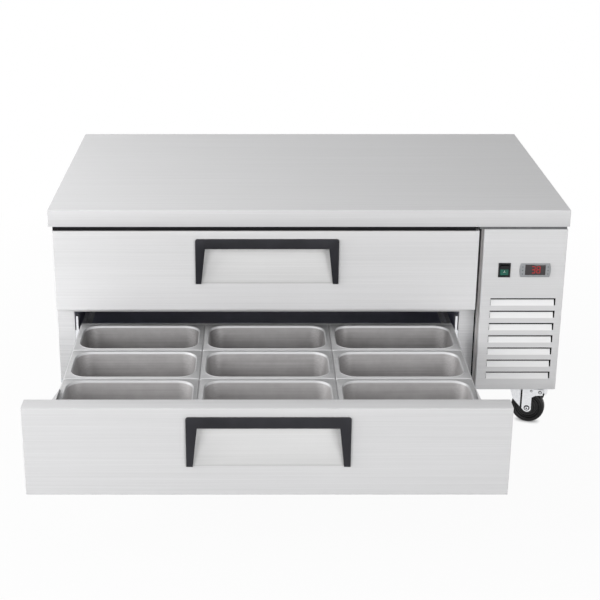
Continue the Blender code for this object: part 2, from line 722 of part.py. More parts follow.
def make_evaporator():
    """The finned coil on the rear wall, with its fan plate and motor in front of it."""
    low = evaporator_z - EVAPORATOR_HEIGHT / 2
    outline = comb_outline(drawer_middle - EVAPORATOR_WIDTH / 2, drawer_middle + EVAPORATOR_WIDTH / 2,
                           evaporator_front, evaporator_back, EVAPORATOR_FIN_COUNT, EVAPORATOR_GROOVE)
    coil = prism(outline, "Z", low, low + EVAPORATOR_HEIGHT)
    centre = (evaporator_fan_x, evaporator_z)
    mount = fan_mount(centre, FAN_PLATE_WIDTH, EVAPORATOR_HEIGHT + 2 * SHROUD_SHEET, EVAPORATOR_MOTOR)
    plate_back = evaporator_front + SHROUD_SHEET / 2
    add("evaporator", combined(coil, joins=[set_along(mount, plate_back, -1)]), ALUMINIUM)
    pivot = (evaporator_fan_x, plate_back, evaporator_z)
    add("evaporator_fan", set_along(fan_shape(centre), plate_back, -1), BLACK_PLASTIC, pivot)


# Casters, modelled about their swivel axis with the wheel trailing along +X

WHEEL_RADIUS = 0.0445
WHEEL_WIDTH = 0.028
TYRE_DEPTH = 0.011
WHEEL_TRAIL = 0.026
FORK_SHEET = 0.0022
FORK_ROOM = 0.0165
FORK_FOOT = 0.0117
FOOT_START = math.radians(200)
FOOT_SWEEP = math.radians(150)
FOOT_STEPS = 6
CROWN_TOP = 0.104
AXLE_RADIUS = 0.0045
AXLE_HEAD = 0.008
AXLE_HEAD_HEIGHT = 0.004
PLATE_LENGTH = 0.095
PLATE_WIDTH = 0.068
PLATE_SHEET = 0.0025
PLATE_CORNER = 0.008
RACE_RADIUS = 0.025
RACE_TOP_SHARE = 0.86
KINGPIN_RADIUS = 0.005
KINGPIN_HEAD = 0.0085
KINGPIN_HEAD_HEIGHT = 0.0025
CASTER_SIDE_INSET = 0.076
CASTER_FRONT_INSET = 0.032
CASTER_REAR_INSET = 0.070
BRAKE_PIN = 0.002
BRAKE_PIN_X = 0.009
BRAKE_PIN_DROP = 0.0085
BRAKE_PAD_GAP = 0.0043
BRAKE_PAD_START = math.radians(62)
BRAKE_PAD_SWEEP = math.radians(-28)
BRAKE_PAD_STEPS = 3
BRAKE_REACH = 0.050
BRAKE_SHEET = 0.002
BRAKE_WIDTH = 0.030

LEG_FRONT_SHARES = ((-0.50, 1.0), (-0.37, 0.64), (-0.13, 0.36))
LEG_REAR_SHARES = ((0.105, 0.44), (0.105, 0.735), (0.20, 0.80), (0.45, 0.85), (0.45, 1.0))
FORK_CREASE = 0.012
FORK_NOSE = 0.042
FORK_NOSE_STEPS = 6


def fork_plan(thickness):
    """The fork seen from above, less a thickness: straight sides and a rounded nose."""
    half = FORK_ROOM + FORK_SHEET - thickness
    nose = FORK_NOSE - thickness
    rear = CROWN_TOP + WHEEL_TRAIL
    outline = [(rear, -half), (rear, half)]
    for step in range(FORK_NOSE_STEPS + 1):
        angle = (0.5 + step / FORK_NOSE_STEPS) * math.pi
        outline.append((FORK_CREASE + nose * math.cos(angle), half * math.sin(angle)))
    return outline


def fork_mesh():
    """A pressed fork: a round-nosed channel, its legs cut to the side outline, with its axle."""
    outline = [(WHEEL_TRAIL + CROWN_TOP * a, CROWN_TOP * b) for a, b in LEG_FRONT_SHARES]
    for step in range(FOOT_STEPS + 1):
        angle = FOOT_START + FOOT_SWEEP * step / FOOT_STEPS
        outline.append((WHEEL_TRAIL + FORK_FOOT * math.cos(angle),
                        WHEEL_RADIUS + FORK_FOOT * math.sin(angle)))
    outline += [(WHEEL_TRAIL + CROWN_TOP * a, CROWN_TOP * b) for a, b in LEG_REAR_SHARES]
    outer = FORK_ROOM + FORK_SHEET
    channel = prism(outline, "Y", -outer - OVERRUN, outer + OVERRUN)
    plan = prism(fork_plan(0), "Z", 0, CROWN_TOP + OVERRUN)
    room = prism(fork_plan(FORK_SHEET), "Z", -OVERRUN, CROWN_TOP - FORK_SHEET)
    king_hole = turned([(KINGPIN_RADIUS + RUNNING, -OVERRUN), (KINGPIN_RADIUS + RUNNING, OVERRUN)],
                       (0, 0, CROWN_TOP), "Z", 12)
    brake_hole = turned([(BRAKE_PIN + SEAM, -outer - OVERRUN), (BRAKE_PIN + SEAM, outer + OVERRUN)],
                        (WHEEL_TRAIL + BRAKE_PIN_X, 0, CROWN_TOP - BRAKE_PIN_DROP), "Y", 10)
    head = outer + AXLE_HEAD_HEIGHT
    axle = turned([(AXLE_HEAD, -head), (AXLE_HEAD, -outer), (AXLE_RADIUS, -outer), (AXLE_RADIUS, outer),
                   (AXLE_HEAD, outer), (AXLE_HEAD, head)], (WHEEL_TRAIL, 0, WHEEL_RADIUS), "Y", 12)
    shape = combined(combined(channel, keeps=[plan], cuts=[room, king_hole, brake_hole]), joins=[axle])
    return mesh_from(shape, "fork")


def wheel_mesh():
    """A tyre and hub turned as one, with grooved faces, centred on the axle."""
    bore = AXLE_RADIUS + RUNNING
    half = WHEEL_WIDTH / 2
    side_shares = ((0.0, 1.0), (0.30, 1.0), (0.36, 0.72), (0.62, 0.72), (0.68, 0.92), (0.90, 0.92),
                   (1.0, 0.62))
    span = WHEEL_RADIUS - bore
    right = [(bore + span * r, half * w) for r, w in side_shares]
    left = [(r, -w) for r, w in right[::-1]]
    return mesh_from(turned(right + left, (0, 0, 0), "Y", 20, ring=True), "wheel")


def caster_plate_mesh():
    """The fixed half: top plate, ball race and riveted kingpin."""
    plate_top = CASTER_HEIGHT - SEAM
    plate = prism(rounded_rectangle(PLATE_LENGTH, PLATE_WIDTH, PLATE_CORNER, 3), "Z",
                  plate_top - PLATE_SHEET, plate_top)
    race_low = CROWN_TOP + RUNNING
    head_top = CROWN_TOP - FORK_SHEET - RUNNING
    post = turned([(KINGPIN_HEAD, head_top - KINGPIN_HEAD_HEIGHT), (KINGPIN_HEAD, head_top),
                   (KINGPIN_RADIUS, head_top), (KINGPIN_RADIUS, race_low), (RACE_RADIUS, race_low),
                   (RACE_RADIUS, (race_low + plate_top) / 2),
                   (RACE_RADIUS * RACE_TOP_SHARE, plate_top - PLATE_SHEET / 2)], (0, 0, 0), "Z", 16)
    return mesh_from(combined(plate, joins=[post]), "caster_plate")


def brake_mesh():
    """The pedal: a bent lever on its pin, with a pad that follows the tyre."""
    pin_z = CROWN_TOP - BRAKE_PIN_DROP
    top = pin_z - BRAKE_SHEET / 2
    pad_radius = WHEEL_RADIUS + BRAKE_PAD_GAP
    pad = []
    for step in range(BRAKE_PAD_STEPS + 1):
        angle = BRAKE_PAD_START + BRAKE_PAD_SWEEP * step / BRAKE_PAD_STEPS
        pad.append((pad_radius * math.cos(angle), WHEEL_RADIUS + pad_radius * math.sin(angle)))
    heel = BRAKE_PIN_X - 2 * BRAKE_PIN
    knee = pad[-1][0] + BRAKE_SHEET
    outline = [(heel, top), (heel, top - BRAKE_SHEET)] + pad + [
        (knee, pad[-1][1] + BRAKE_SHEET), (knee, top - BRAKE_SHEET),
        (BRAKE_REACH, top - BRAKE_SHEET / 2), (BRAKE_REACH, top + BRAKE_SHEET / 2), (knee, top)]
    outline = [(WHEEL_TRAIL + x, z) for x, z in outline]
    lever = prism(outline, "Y", -BRAKE_WIDTH / 2, BRAKE_WIDTH / 2)
    reach = FORK_ROOM + FORK_SHEET
    pin = turned([(BRAKE_PIN, -reach), (BRAKE_PIN, reach)], (WHEEL_TRAIL + BRAKE_PIN_X, 0, pin_z), "Y", 10)
    shape = combined(lever, joins=[pin])
    bmesh.ops.translate(shape, verts=shape.verts, vec=(-WHEEL_TRAIL - BRAKE_PIN_X, 0, -pin_z))
    return mesh_from(shape, "brake")


CASTER_TURNS = {"front_left": -12, "front_right": -20, "rear_left": 158, "rear_right": 24}


def make_casters():
    plate, fork, wheel, brake = caster_plate_mesh(), fork_mesh(), wheel_mesh(), brake_mesh()
    front = frame_y + CASTER_FRONT_INSET
    rear = rear_y - CASTER_REAR_INSET
    left = case_left + CASTER_SIDE_INSET
    right = body_right - CASTER_SIDE_INSET
    places = {"front_left": (left, front), "front_right": (right, front),
              "rear_left": (left, rear), "rear_right": (right, rear)}
    for corner, (x, y) in places.items():
        turn = math.radians(CASTER_TURNS[corner])
        ahead = Vector((math.cos(turn), math.sin(turn), 0))
        swivel = Vector((x, y, 0))
        place("caster_plate_" + corner, plate, ZINC, swivel)
        place("caster_fork_" + corner, fork, ZINC, swivel, turn)
        axle = swivel + ahead * WHEEL_TRAIL + Vector((0, 0, WHEEL_RADIUS))
        place("caster_wheel_" + corner, wheel, RUBBER, axle, turn, smooth=True)
        if corner.startswith("front"):
            pin = swivel + ahead * (WHEEL_TRAIL + BRAKE_PIN_X) + Vector((0, 0, CROWN_TOP - BRAKE_PIN_DROP))
            place("brake_pedal_" + corner, brake, ZINC, pin, turn)


# Telescopic runners: three channels nested in each other at each side of a drawer

RUNNER_SHEET = 0.0012
RUNNER_PAST_TRAY = 0.0305
RUNNER_SETBACK = 0.002
RUNNER_DROP = 0.035
BRACKET_DEPTH = 0.016
BRACKET_HEIGHT = 0.036
BRACKET_PLACE_SHARES = (0.0, 0.48, 0.96)
POST_GAP = 0.0032
POST_WIDTH = 0.0055
POST_HEADROOM = 0.014

SIDES = {"left": 1, "right": -1}


def side_x(side, distance):
    """A place measured inwards from the opening's wall at either side."""
    return opening_left + distance if side > 0 else opening_right - distance


def channel(side, web, lip, middle, height, start, length):
    """A C-section along Y: its web's outer face at one distance, its lips' ends at another."""
    inner_web = web + RUNNER_SHEET if lip > web else web - RUNNER_SHEET
    low, high = middle - height / 2, middle + height / 2
    outline = [(web, low), (lip, low), (lip, low + RUNNER_SHEET), (inner_web, low + RUNNER_SHEET),
               (inner_web, high - RUNNER_SHEET), (lip, high - RUNNER_SHEET), (lip, high), (web, high)]
    return prism([(side_x(side, distance), z) for distance, z in outline], "Y", start, start + length)


runner_lip = RUNNER_STANDOFF + RUNNER_THICKNESS - RUNNER_SHEET - RUNNING
middle_web = RUNNER_STANDOFF + RUNNER_SHEET + RUNNING
middle_height = RUNNER_HEIGHT - 2 * (RUNNER_SHEET + RUNNING)
inner_height = middle_height - 2 * (RUNNER_SHEET + RUNNING)
runner_start = frame_y + RUNNER_SETBACK
runner_length = tray_rear + RUNNER_PAST_TRAY - runner_start


def make_runners(level, rim_z, opening_top, shift):
    """The fixed and the middle members of one drawer; the inner ones are part of its tray.

    The fixed member stands off the wall on brackets, the front one with a post above it.
    """
    middle = rim_z - RUNNER_DROP
    for name, side in SIDES.items():
        outer = channel(side, RUNNER_STANDOFF, runner_lip, middle, RUNNER_HEIGHT, runner_start,
                        runner_length)
        near, far = sorted((side_x(side, SEAM), side_x(side, RUNNER_STANDOFF + RUNNER_SHEET / 2)))
        brackets = []
        for share in BRACKET_PLACE_SHARES:
            start = runner_start + share * runner_length
            brackets.append(block((near, start, middle - BRACKET_HEIGHT / 2),
                                  (far, start + BRACKET_DEPTH, middle + BRACKET_HEIGHT / 2)))
        near, far = sorted((side_x(side, POST_GAP), side_x(side, POST_GAP + POST_WIDTH)))
        post = block((near, runner_start + SEAM, middle),
                     (far, runner_start + BRACKET_DEPTH - SEAM, opening_top - POST_HEADROOM))
        add(f"{level}_runner_outer_{name}", combined(outer, joins=brackets + [post]), ZINC)
        slider = channel(side, middle_web, runner_lip, middle, middle_height,
                         runner_start + shift / 2, runner_length)
        add(f"{level}_runner_middle_{name}", slider, ZINC)


# Food pans

PAN_RIM = 0.013
PAN_LIP = 0.004
PAN_RIM_CORNER = 0.014
PAN_WELL_CORNER = 0.042
PAN_DRAFT = 0.007
PAN_FLOOR_RADIUS = 0.014
PAN_CORNER_STEPS = 3
PAN_HOLE_CLEARANCE = 0.001


def pan_mesh(length, width, depth):
    """A pressed pan about the middle of its rim: flat rim, drafted walls, rounded floor."""
    thick = PAN_SHEET

    def loop(inset, corner, z):
        outline = rounded_rectangle(length - 2 * inset, width - 2 * inset, corner, PAN_CORNER_STEPS)
        return [(x, y, z) for x, y in outline]

    well = PAN_RIM
    wall = PAN_RIM + PAN_DRAFT
    floor = wall + PAN_FLOOR_RADIUS
    wall_corner = PAN_WELL_CORNER - PAN_DRAFT / 2
    floor_corner = wall_corner - PAN_FLOOR_RADIUS
    loops = [loop(floor, floor_corner, -depth),
             loop(wall, wall_corner, -depth + PAN_FLOOR_RADIUS),
             loop(well, PAN_WELL_CORNER, 0),
             loop(0, PAN_RIM_CORNER, 0),
             loop(0, PAN_RIM_CORNER, -PAN_LIP),
             loop(thick, PAN_RIM_CORNER - thick, -PAN_LIP),
             loop(thick, PAN_RIM_CORNER - thick, -thick),
             loop(well - thick, PAN_WELL_CORNER + thick, -thick),
             loop(wall - thick, wall_corner + thick, -depth + PAN_FLOOR_RADIUS - thick / 2),
             loop(floor - thick / 2, floor_corner + thick / 2, -depth - thick)]
    return mesh_from(loft(loops), "pan")


def pan_places(length, width, columns, rows):
    """The middles of the pans on a tray, from its front left, over the drawer's middle."""
    start_y = front_back_y + PAN_START
    pitch_x, pitch_y = length + PAN_GAP, width + PAN_GAP
    spare = pans_depth - rows * width - (rows - 1) * PAN_GAP
    return [(column, row, drawer_middle + (column - (columns - 1) / 2) * pitch_x,
             start_y + spare / 2 + width / 2 + row * pitch_y)
            for row in range(rows) for column in range(columns)]


# Drawers

TRAY_SKIRT = 0.060
TRAY_STEP = 0.003
TRAY_HEM = 0.004
POCKET_HALF_WIDTH = 0.172
POCKET_DEPTH = 0.030
POCKET_KNEE = 0.090
POCKET_SHEET = 0.0012
HANDLE_WIDTH = 0.3665
HANDLE_HEIGHT = 0.1200
HANDLE_DROP = 0.0208
HANDLE_BAR = 0.0256
HANDLE_LEG_TOP = 0.0251
HANDLE_LEG_FOOT = 0.0146
HANDLE_CORNER = 0.004
HANDLE_CORNER_STEPS = 3
HANDLE_EDGE = 0.0012
GRIP_DEPTH = 0.009
GRIP_HEIGHT = 0.004
POCKET_BEHIND_BAR = 0.021
FRONT_EDGE = 0.0012

tray_left = opening_left + TRAY_SIDE_ROOM
tray_right = opening_right - TRAY_SIDE_ROOM
tray_front = front_back_y + SEAM
skirt_room = RUNNER_STANDOFF + RUNNER_THICKNESS + SEAM
handle_x = drawer_middle


def pocket_outline(front_top, grow, ahead):
    """The pocket's wedge seen from the side, grown all round and run on ahead of the face."""
    low = front_top - HANDLE_DROP - HANDLE_HEIGHT
    high = front_top - HANDLE_DROP - HANDLE_BAR + POCKET_BEHIND_BAR
    slope = POCKET_KNEE / POCKET_DEPTH
    drop = grow * math.hypot(POCKET_KNEE, POCKET_DEPTH) / POCKET_DEPTH
    back = POCKET_DEPTH + grow
    return [(face_y - ahead, low - drop - slope * ahead), (face_y + back, low - drop + slope * back),
            (face_y + back, high + grow), (face_y - ahead, high + grow)]


def make_front(level, front_bottom, shift):
    """The foamed drawer front, hollowed for its pocket."""
    front_top = front_bottom + FRONT_HEIGHT
    slab = block((front_left, face_y, front_bottom), (front_right, front_back_y, front_top))
    slab = bevelled(slab, FRONT_EDGE, 1,
                    lambda edge: all(vert.co.y < face_y + SEAM for vert in edge.verts))
    room = POCKET_HALF_WIDTH + SEAM
    hollow = prism(pocket_outline(front_top, SEAM, OVERRUN), "X", handle_x - room, handle_x + room)
    shape = combined(slab, cuts=[hollow])
    bmesh.ops.translate(shape, verts=shape.verts, vec=(0, shift, 0))
    add(level + "_drawer_front", shape, STEEL)


def make_pocket(level, front_bottom, shift):
    """The finger pocket: a bent sheet with a plate at each end."""
    front_top = front_bottom + FRONT_HEIGHT
    outline = pocket_outline(front_top, 0, OVERRUN)
    sheet = prism(sheet_outline(outline, POCKET_SHEET), "X",
                  handle_x - POCKET_HALF_WIDTH, handle_x + POCKET_HALF_WIDTH)
    ends = [prism(outline, "X", handle_x + side * POCKET_HALF_WIDTH,
                  handle_x + side * (POCKET_HALF_WIDTH - POCKET_SHEET)) for side in (-1, 1)]
    ahead = block((handle_x - HANDLE_WIDTH, face_y - 2 * OVERRUN, front_bottom - FRONT_HEIGHT),
                  (handle_x + HANDLE_WIDTH, face_y, front_top + FRONT_HEIGHT))
    shape = combined(sheet, joins=ends, cuts=[ahead])
    bmesh.ops.translate(shape, verts=shape.verts, vec=(0, shift, 0))
    add(level + "_drawer_pocket", shape, POCKET_STEEL)


def make_handle(level, front_bottom, shift):
    """The frame over the pocket: a bar with two tapering legs and a grip behind the bar."""
    top = front_bottom + FRONT_HEIGHT - HANDLE_DROP
    bottom = top - HANDLE_HEIGHT
    bar_bottom = top - HANDLE_BAR
    half = HANDLE_WIDTH / 2
    right = [(half - HANDLE_LEG_TOP, bar_bottom), (half - HANDLE_LEG_FOOT, bottom), (half, bottom)]
    for step in range(HANDLE_CORNER_STEPS + 1):
        angle = step / HANDLE_CORNER_STEPS * math.pi / 2
        right.append((half - HANDLE_CORNER + HANDLE_CORNER * math.cos(angle),
                      top - HANDLE_CORNER + HANDLE_CORNER * math.sin(angle)))
    outline = [(handle_x + x, z) for x, z in right] + [(handle_x - x, z) for x, z in right[::-1]]
    front = face_y - SEAM - HANDLE_PROJECTION
    frame = prism(outline, "Y", front, face_y - SEAM)
    frame = bevelled(frame, HANDLE_EDGE, 2, lambda edge: all(vert.co.y < front + SEAM for vert in edge.verts))
    reach = half - HANDLE_LEG_TOP
    grip = block((handle_x - reach, face_y - HANDLE_PROJECTION / 2, bar_bottom + GRIP_HEIGHT / 2),
                 (handle_x + reach, face_y + GRIP_DEPTH, bar_bottom + GRIP_HEIGHT * 3 / 2))
    shape = combined(frame, joins=[grip])
    bmesh.ops.translate(shape, verts=shape.verts, vec=(0, shift, 0))
    add(level + "_drawer_handle", shape, BLACK_PLASTIC)


def make_gasket(level, opening_bottom, opening_top, shift):
    """The bellows seal round the back of a drawer front."""
    thick = GASKET_THICKNESS - 2 * SEAM
    profile_shares = ((0, 0), (1, 0), (1, 0.30), (0.72, 0.48), (1, 0.66), (1, 1), (0, 1), (0, 0.66),
                      (0.28, 0.48), (0, 0.30))
    loops = []
    for across, along in profile_shares:
        grow = GASKET_OVERLAP + across * GASKET_WIDTH
        y = front_back_y + SEAM + along * thick + shift
        outline = rectangle(opening_left - grow, opening_right + grow, opening_bottom - grow,
                            opening_top + grow)
        loops.append([on_axis("Y", y, x, z) for x, z in outline])
    add(level + "_drawer_gasket", loft(loops, closed=True), RUBBER)


def make_tray(level, rim_z, pan_length, pan_width, places, shift):
    """The pan carrier: a plate with a hole for each pan, whose hemmed flange covers the runners."""
    top = rim_z - PAN_LIP - SEAM
    low = top - TRAY_SKIRT
    under = top - TRAY_SHEET
    hem = top - TRAY_HEM
    edge = rectangle(tray_left, tray_right, tray_front, tray_rear)
    edge_inner = rectangle(tray_left + TRAY_SHEET, tray_right - TRAY_SHEET,
                           tray_front + TRAY_SHEET, tray_rear - TRAY_SHEET)
    skirt = rectangle(side_x(1, skirt_room), side_x(-1, skirt_room),
                      tray_front + TRAY_STEP, tray_rear - TRAY_STEP)
    skirt_inner = rectangle(side_x(1, skirt_room + TRAY_SHEET), side_x(-1, skirt_room + TRAY_SHEET),
                            tray_front + TRAY_STEP + TRAY_SHEET, tray_rear - TRAY_STEP - TRAY_SHEET)
    carrier = loft([[on_axis("Z", z, x, y) for x, y in outline] for z, outline in (
        (under, skirt_inner), (low, skirt_inner), (low, skirt), (under, skirt), (under, edge_inner),
        (hem, edge_inner), (hem, edge), (top, edge))])
    inset = PAN_RIM - PAN_SHEET - PAN_HOLE_CLEARANCE
    holes = [block((x - pan_length / 2 + inset, y - pan_width / 2 + inset, top - OVERRUN),
                   (x + pan_length / 2 - inset, y + pan_width / 2 - inset, top + OVERRUN))
             for column, row, x, y in places]
    members = [channel(side, skirt_room + SEAM, middle_web + RUNNER_SHEET + RUNNING, rim_z - RUNNER_DROP,
                       inner_height, runner_start, tray_rear - TRAY_STEP - runner_start)
               for side in SIDES.values()]
    shape = combined(carrier, joins=members, cuts=[merged(holes)])
    bmesh.ops.translate(shape, verts=shape.verts, vec=(0, shift, 0))
    add(level + "_drawer_tray", shape, STEEL)


def make_drawer(level, front_bottom, opening_bottom, opening_top, shift, pan_size, grid, names):
    rim_z = front_bottom + FRONT_HEIGHT - PAN_RIM_DROP
    length, width = pan_size
    places = pan_places(length, width, *grid)
    make_front(level, front_bottom, shift)
    make_pocket(level, front_bottom, shift)
    make_handle(level, front_bottom, shift)
    make_gasket(level, opening_bottom, opening_top, shift)
    make_tray(level, rim_z, length, width, places, shift)
    make_runners(level, rim_z, opening_top, shift)
    pan = pan_mesh(length, width, PAN_DEPTH)
    for (column, row, x, y), name in zip(places, names):
        place(name, pan, PAN_STEEL, (x, y + shift, rim_z), smooth=True)


def make_drawers():
    full_names = [f"full_pan_{column + 1}" for column in range(PAN_COLUMNS)]
    make_drawer("upper", upper_front_bottom, upper_bottom, upper_top, 0,
                (PAN_LENGTH, FULL_PAN_LENGTH), (PAN_COLUMNS, 1), full_names)
    small_names = [f"third_pan_{row + 1}_{column + 1}" for row in range(PAN_ROWS)
                   for column in range(PAN_COLUMNS)]
    make_drawer("lower", lower_front_bottom, lower_bottom, lower_top, -LOWER_DRAWER_OPEN,
                (PAN_LENGTH, PAN_WIDTH), (PAN_COLUMNS, PAN_ROWS), small_names)


clear_scene()
ROOT = make_root()
STEEL = make_material("brushed_steel", (0.72, 0.72, 0.73), 0.35, 1.0)
POCKET_STEEL = make_material("pocket_steel", (0.66, 0.66, 0.67), 0.35, 1.0)
LINER_STEEL = make_material("liner_steel", (0.60, 0.61, 0.63), 0.40, 1.0)
PAN_STEEL = make_material("pan_steel", (0.58, 0.57, 0.57), 0.30, 1.0)
GALVANISED = make_material("galvanised_steel", (0.60, 0.62, 0.64), 0.45, 1.0)
ZINC = make_material("zinc_plate", (0.82, 0.82, 0.84), 0.30, 1.0)
ALUMINIUM = make_material("aluminium", (0.78, 0.79, 0.80), 0.40, 1.0)
BLACK_METAL = make_material("black_enamel", (0.02, 0.02, 0.02), 0.35, 0.0)
BLACK_PLASTIC = make_material("black_plastic", (0.035, 0.035, 0.04), 0.45, 0.0)
GREY_PLASTIC = make_material("grey_plastic", (0.30, 0.31, 0.33), 0.50, 0.0)
SWITCH_PLASTIC = make_material("switch_green", (0.02, 0.20, 0.12), 0.30, 0.0)
RUBBER = make_material("black_rubber", (0.02, 0.02, 0.02), 0.75, 0.0)

make_worktop()
make_case()
make_liner()
make_face_frame()
make_chassis()
make_front_panel()
make_bay_cover()
make_controller()
make_switch()
make_compressor()
make_condenser()
make_condenser_fan()
make_evaporator()
make_casters()
make_drawers()
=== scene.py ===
# A refrigerated chef base with its lower pan drawer pulled out, on a pale studio floor.
import json
import math

import bmesh
import bpy
from mathutils import Matrix, Vector


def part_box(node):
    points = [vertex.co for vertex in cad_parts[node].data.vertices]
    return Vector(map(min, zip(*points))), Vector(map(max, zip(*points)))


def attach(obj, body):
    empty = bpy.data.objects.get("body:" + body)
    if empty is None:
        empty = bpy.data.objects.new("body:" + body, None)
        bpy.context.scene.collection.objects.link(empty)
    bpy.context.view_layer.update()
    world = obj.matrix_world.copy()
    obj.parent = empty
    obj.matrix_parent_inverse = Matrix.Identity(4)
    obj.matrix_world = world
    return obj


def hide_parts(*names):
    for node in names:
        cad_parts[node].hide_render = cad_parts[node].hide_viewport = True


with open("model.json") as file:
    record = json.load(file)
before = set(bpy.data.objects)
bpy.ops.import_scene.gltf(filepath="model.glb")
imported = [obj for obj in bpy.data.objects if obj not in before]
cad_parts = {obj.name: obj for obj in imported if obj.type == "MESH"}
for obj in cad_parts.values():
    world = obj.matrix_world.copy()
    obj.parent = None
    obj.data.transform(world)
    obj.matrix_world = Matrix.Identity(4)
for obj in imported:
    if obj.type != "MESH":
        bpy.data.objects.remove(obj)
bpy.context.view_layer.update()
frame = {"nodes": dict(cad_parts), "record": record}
print("frame loaded:", len(frame["nodes"]), "nodes")


# Shader maths: a wire wraps one socket, and arithmetic on wires adds Math nodes

class Wire:
    def __init__(self, tree, socket=None):
        self.tree, self.socket = tree, socket

    def node(self, kind, inputs=None, output=0, stops=(), **settings):
        made = self.tree.nodes.new("ShaderNode" + kind)
        for name, value in settings.items():
            setattr(made, name, value)
        if stops:
            for stop, (place, tone) in zip(made.color_ramp.elements, stops):
                stop.position, stop.color = place, (tone, tone, tone, 1)
        for name, value in (inputs or {}).items():
            if isinstance(value, Wire):
                self.tree.links.new(value.socket, made.inputs[name])
            else:
                made.inputs[name].default_value = value
        return Wire(self.tree, made.outputs[output])

    def maths(self, operation, first, second=0.0):
        return self.node("Math", {0: first, 1: second}, operation=operation)

    def __add__(self, other):
        return self.maths("ADD", self, other)

    def __sub__(self, other):
        return self.maths("SUBTRACT", self, other)

    def __mul__(self, other):
        return self.maths("MULTIPLY", self, other)

    def __rsub__(self, other):
        return self.maths("SUBTRACT", other, self)

    __radd__, __rmul__ = __add__, __mul__


sockets = {"metallic": "Metallic", "roughness": "Roughness", "coat": "Coat Weight",
           "shine": "Specular IOR Level"}


def newMaterial(name, look):
    material = bpy.data.materials.new(name)
    material.use_nodes = True
    for key, socket in sockets.items():
        material.node_tree.nodes["Principled BSDF"].inputs[socket].default_value = look.get(key, 0.0)
    return material, Wire(material.node_tree)


def feed(material, name, wire):
    wire.tree.links.new(wire.socket, material.node_tree.nodes["Principled BSDF"].inputs[name])


def tint(factor, *colours):  # a colour between two colours, each a wire or three numbers
    first, last = [colour if isinstance(colour, Wire) else (*colour, 1) for colour in colours]
    return factor.node("Mix", {0: factor, 6: first, 7: last}, 2, data_type="RGBA")


def pattern(wire, scale, detail, rough):  # noise on the piece's own place, with one scale or three
    spread = wire.node("Mapping", {"Vector": wire.node("TexCoord", output=3),
                                   "Scale": scale if isinstance(scale, tuple) else (scale,) * 3})
    return wire.node("TexNoise", {"Vector": spread, "Scale": 1.0, "Detail": detail, "Roughness": rough})


def along(wire, axis, reading=3):  # one coordinate of the piece's own place, or of its normal by reading 1
    return wire.node("SeparateXYZ", {"Vector": wire.node("TexCoord", output=reading)}, axis)


def ramped(value, start, end, first=0.0, last=1.0):  # a value carried from one range to another
    return value.node("MapRange", {"Value": value, 1: start, 2: end, 3: first, 4: last})


def banded(value, low, high):  # noise stretched to its full contrast
    return value.node("ValToRGB", {"Fac": value}, stops=((low, 0), (high, 1)))


def surfaced(material, look, colour, worn, swing, raised, depth):  # colour, gloss that varies and bump
    feed(material, "Base Color", colour)
    feed(material, "Roughness", look["roughness"] - swing / 2 + swing * worn)
    feed(material, "Normal", raised.node("Bump", {"Height": raised, "Strength": look["bump"],
                                                  "Distance": depth}))
    return material


def brushedSheet(name, look):
    material, wire = newMaterial(name, look)
    facesSide = wire.maths("GREATER_THAN", wire.maths("ABSOLUTE", along(wire, 0, 1)), 0.7)
    long, across = look["grain"]
    fine = pattern(wire, (long, across, across), 3, 0.6)
    fineSide = pattern(wire, (across, long, across), 3, 0.6)
    grain = fine + facesSide * (fineSide - fine)
    streaks = pattern(wire, look["streak"], 2, 0.55)
    cloud = pattern(wire, 1.3, 2, 0.5)
    spread = banded(grain * 0.40 + streaks * 0.45 + cloud * 0.15, 0.34, 0.66)
    if "fade" in look:  # painted light: lighter towards one end, against the shade that falls there
        axis, start, end = look["fade"]
        spread = spread * 0.5 + ramped(along(wire, axis), start, end) * 0.5
    if "rise" in look:  # painted light: lighter towards the top of a drawer's pocket, against the shade under its handle
        foot, rise, nextFoot = look["rise"]
        height = along(wire, 2) - foot
        height = height - wire.maths("GREATER_THAN", height, nextFoot - foot) * (nextFoot - foot)
        spread = spread * 0.2 + height * (0.8 / rise)
    return surfaced(material, look, tint(spread, *look["tones"]), grain, 0.12, grain, 0.0004)


def pressedSheet(name, look):  # satin metal with a soft mottle and drawing marks
    material, wire = newMaterial(name, look)
    mottle = pattern(wire, look["mottle"], 4, 0.6)
    marks = pattern(wire, look["marks"], 2, 0.5)
    spread = banded(mottle * 0.5 + marks * 0.5, 0.36, 0.64)
    first, second = [wire.maths("ABSOLUTE", along(wire, 2) - level) for level in look["rims"]]
    onRim = ramped(wire.maths("MINIMUM", first, second), *look["rimHeight"], 1.0, 0.0)
    # painted shade: the wells darker towards the back of the drawer
    paintedBackShade = ramped(along(wire, 1), *look["along"])
    base = tint(onRim, tint(spread * 0.3 + paintedBackShade * 0.7, *look["tones"]), tint(spread, *look["rimTones"]))
    paintedRimHighlight = ramped(along(wire, 1, 1), *look["highlightFacing"]) * onRim  # painted highlight: rims lighter where they face the front
    feed(material, "Metallic", look["metallic"] - 0.30 * onRim)
    return surfaced(material, look, tint(paintedRimHighlight, base, look["edge"]), mottle, 0.10, marks, 0.0004)


def platedMetal(name, look):  # zinc, galvanised or cast surfaces with fine speckle
    material, wire = newMaterial(name, look)
    speckle = pattern(wire, look["speckle"], 3, 0.6)
    colour = tint(banded(speckle, 0.35, 0.65), *look["tones"])
    return surfaced(material, look, colour, speckle, 0.10, speckle, 0.0003)


def mouldedPlastic(name, look):  # fine spark-eroded texture, slightly worn
    material, wire = newMaterial(name, look)
    wear = pattern(wire, look["wear"], 3, 0.6)
    if "glow" in look:  # a lit window or segment
        material.node_tree.nodes["Principled BSDF"].inputs["Emission Strength"].default_value = look["glow"]
        feed(material, "Emission Color", tint(pattern(wire, look["patch"], 1, 0.5), *look["light"]))
    return surfaced(material, look, tint(banded(wear, 0.3, 0.7), *look["tones"]), wear, 0.10,
                    pattern(wire, look["texture"], 2, 0.5), 0.0002)


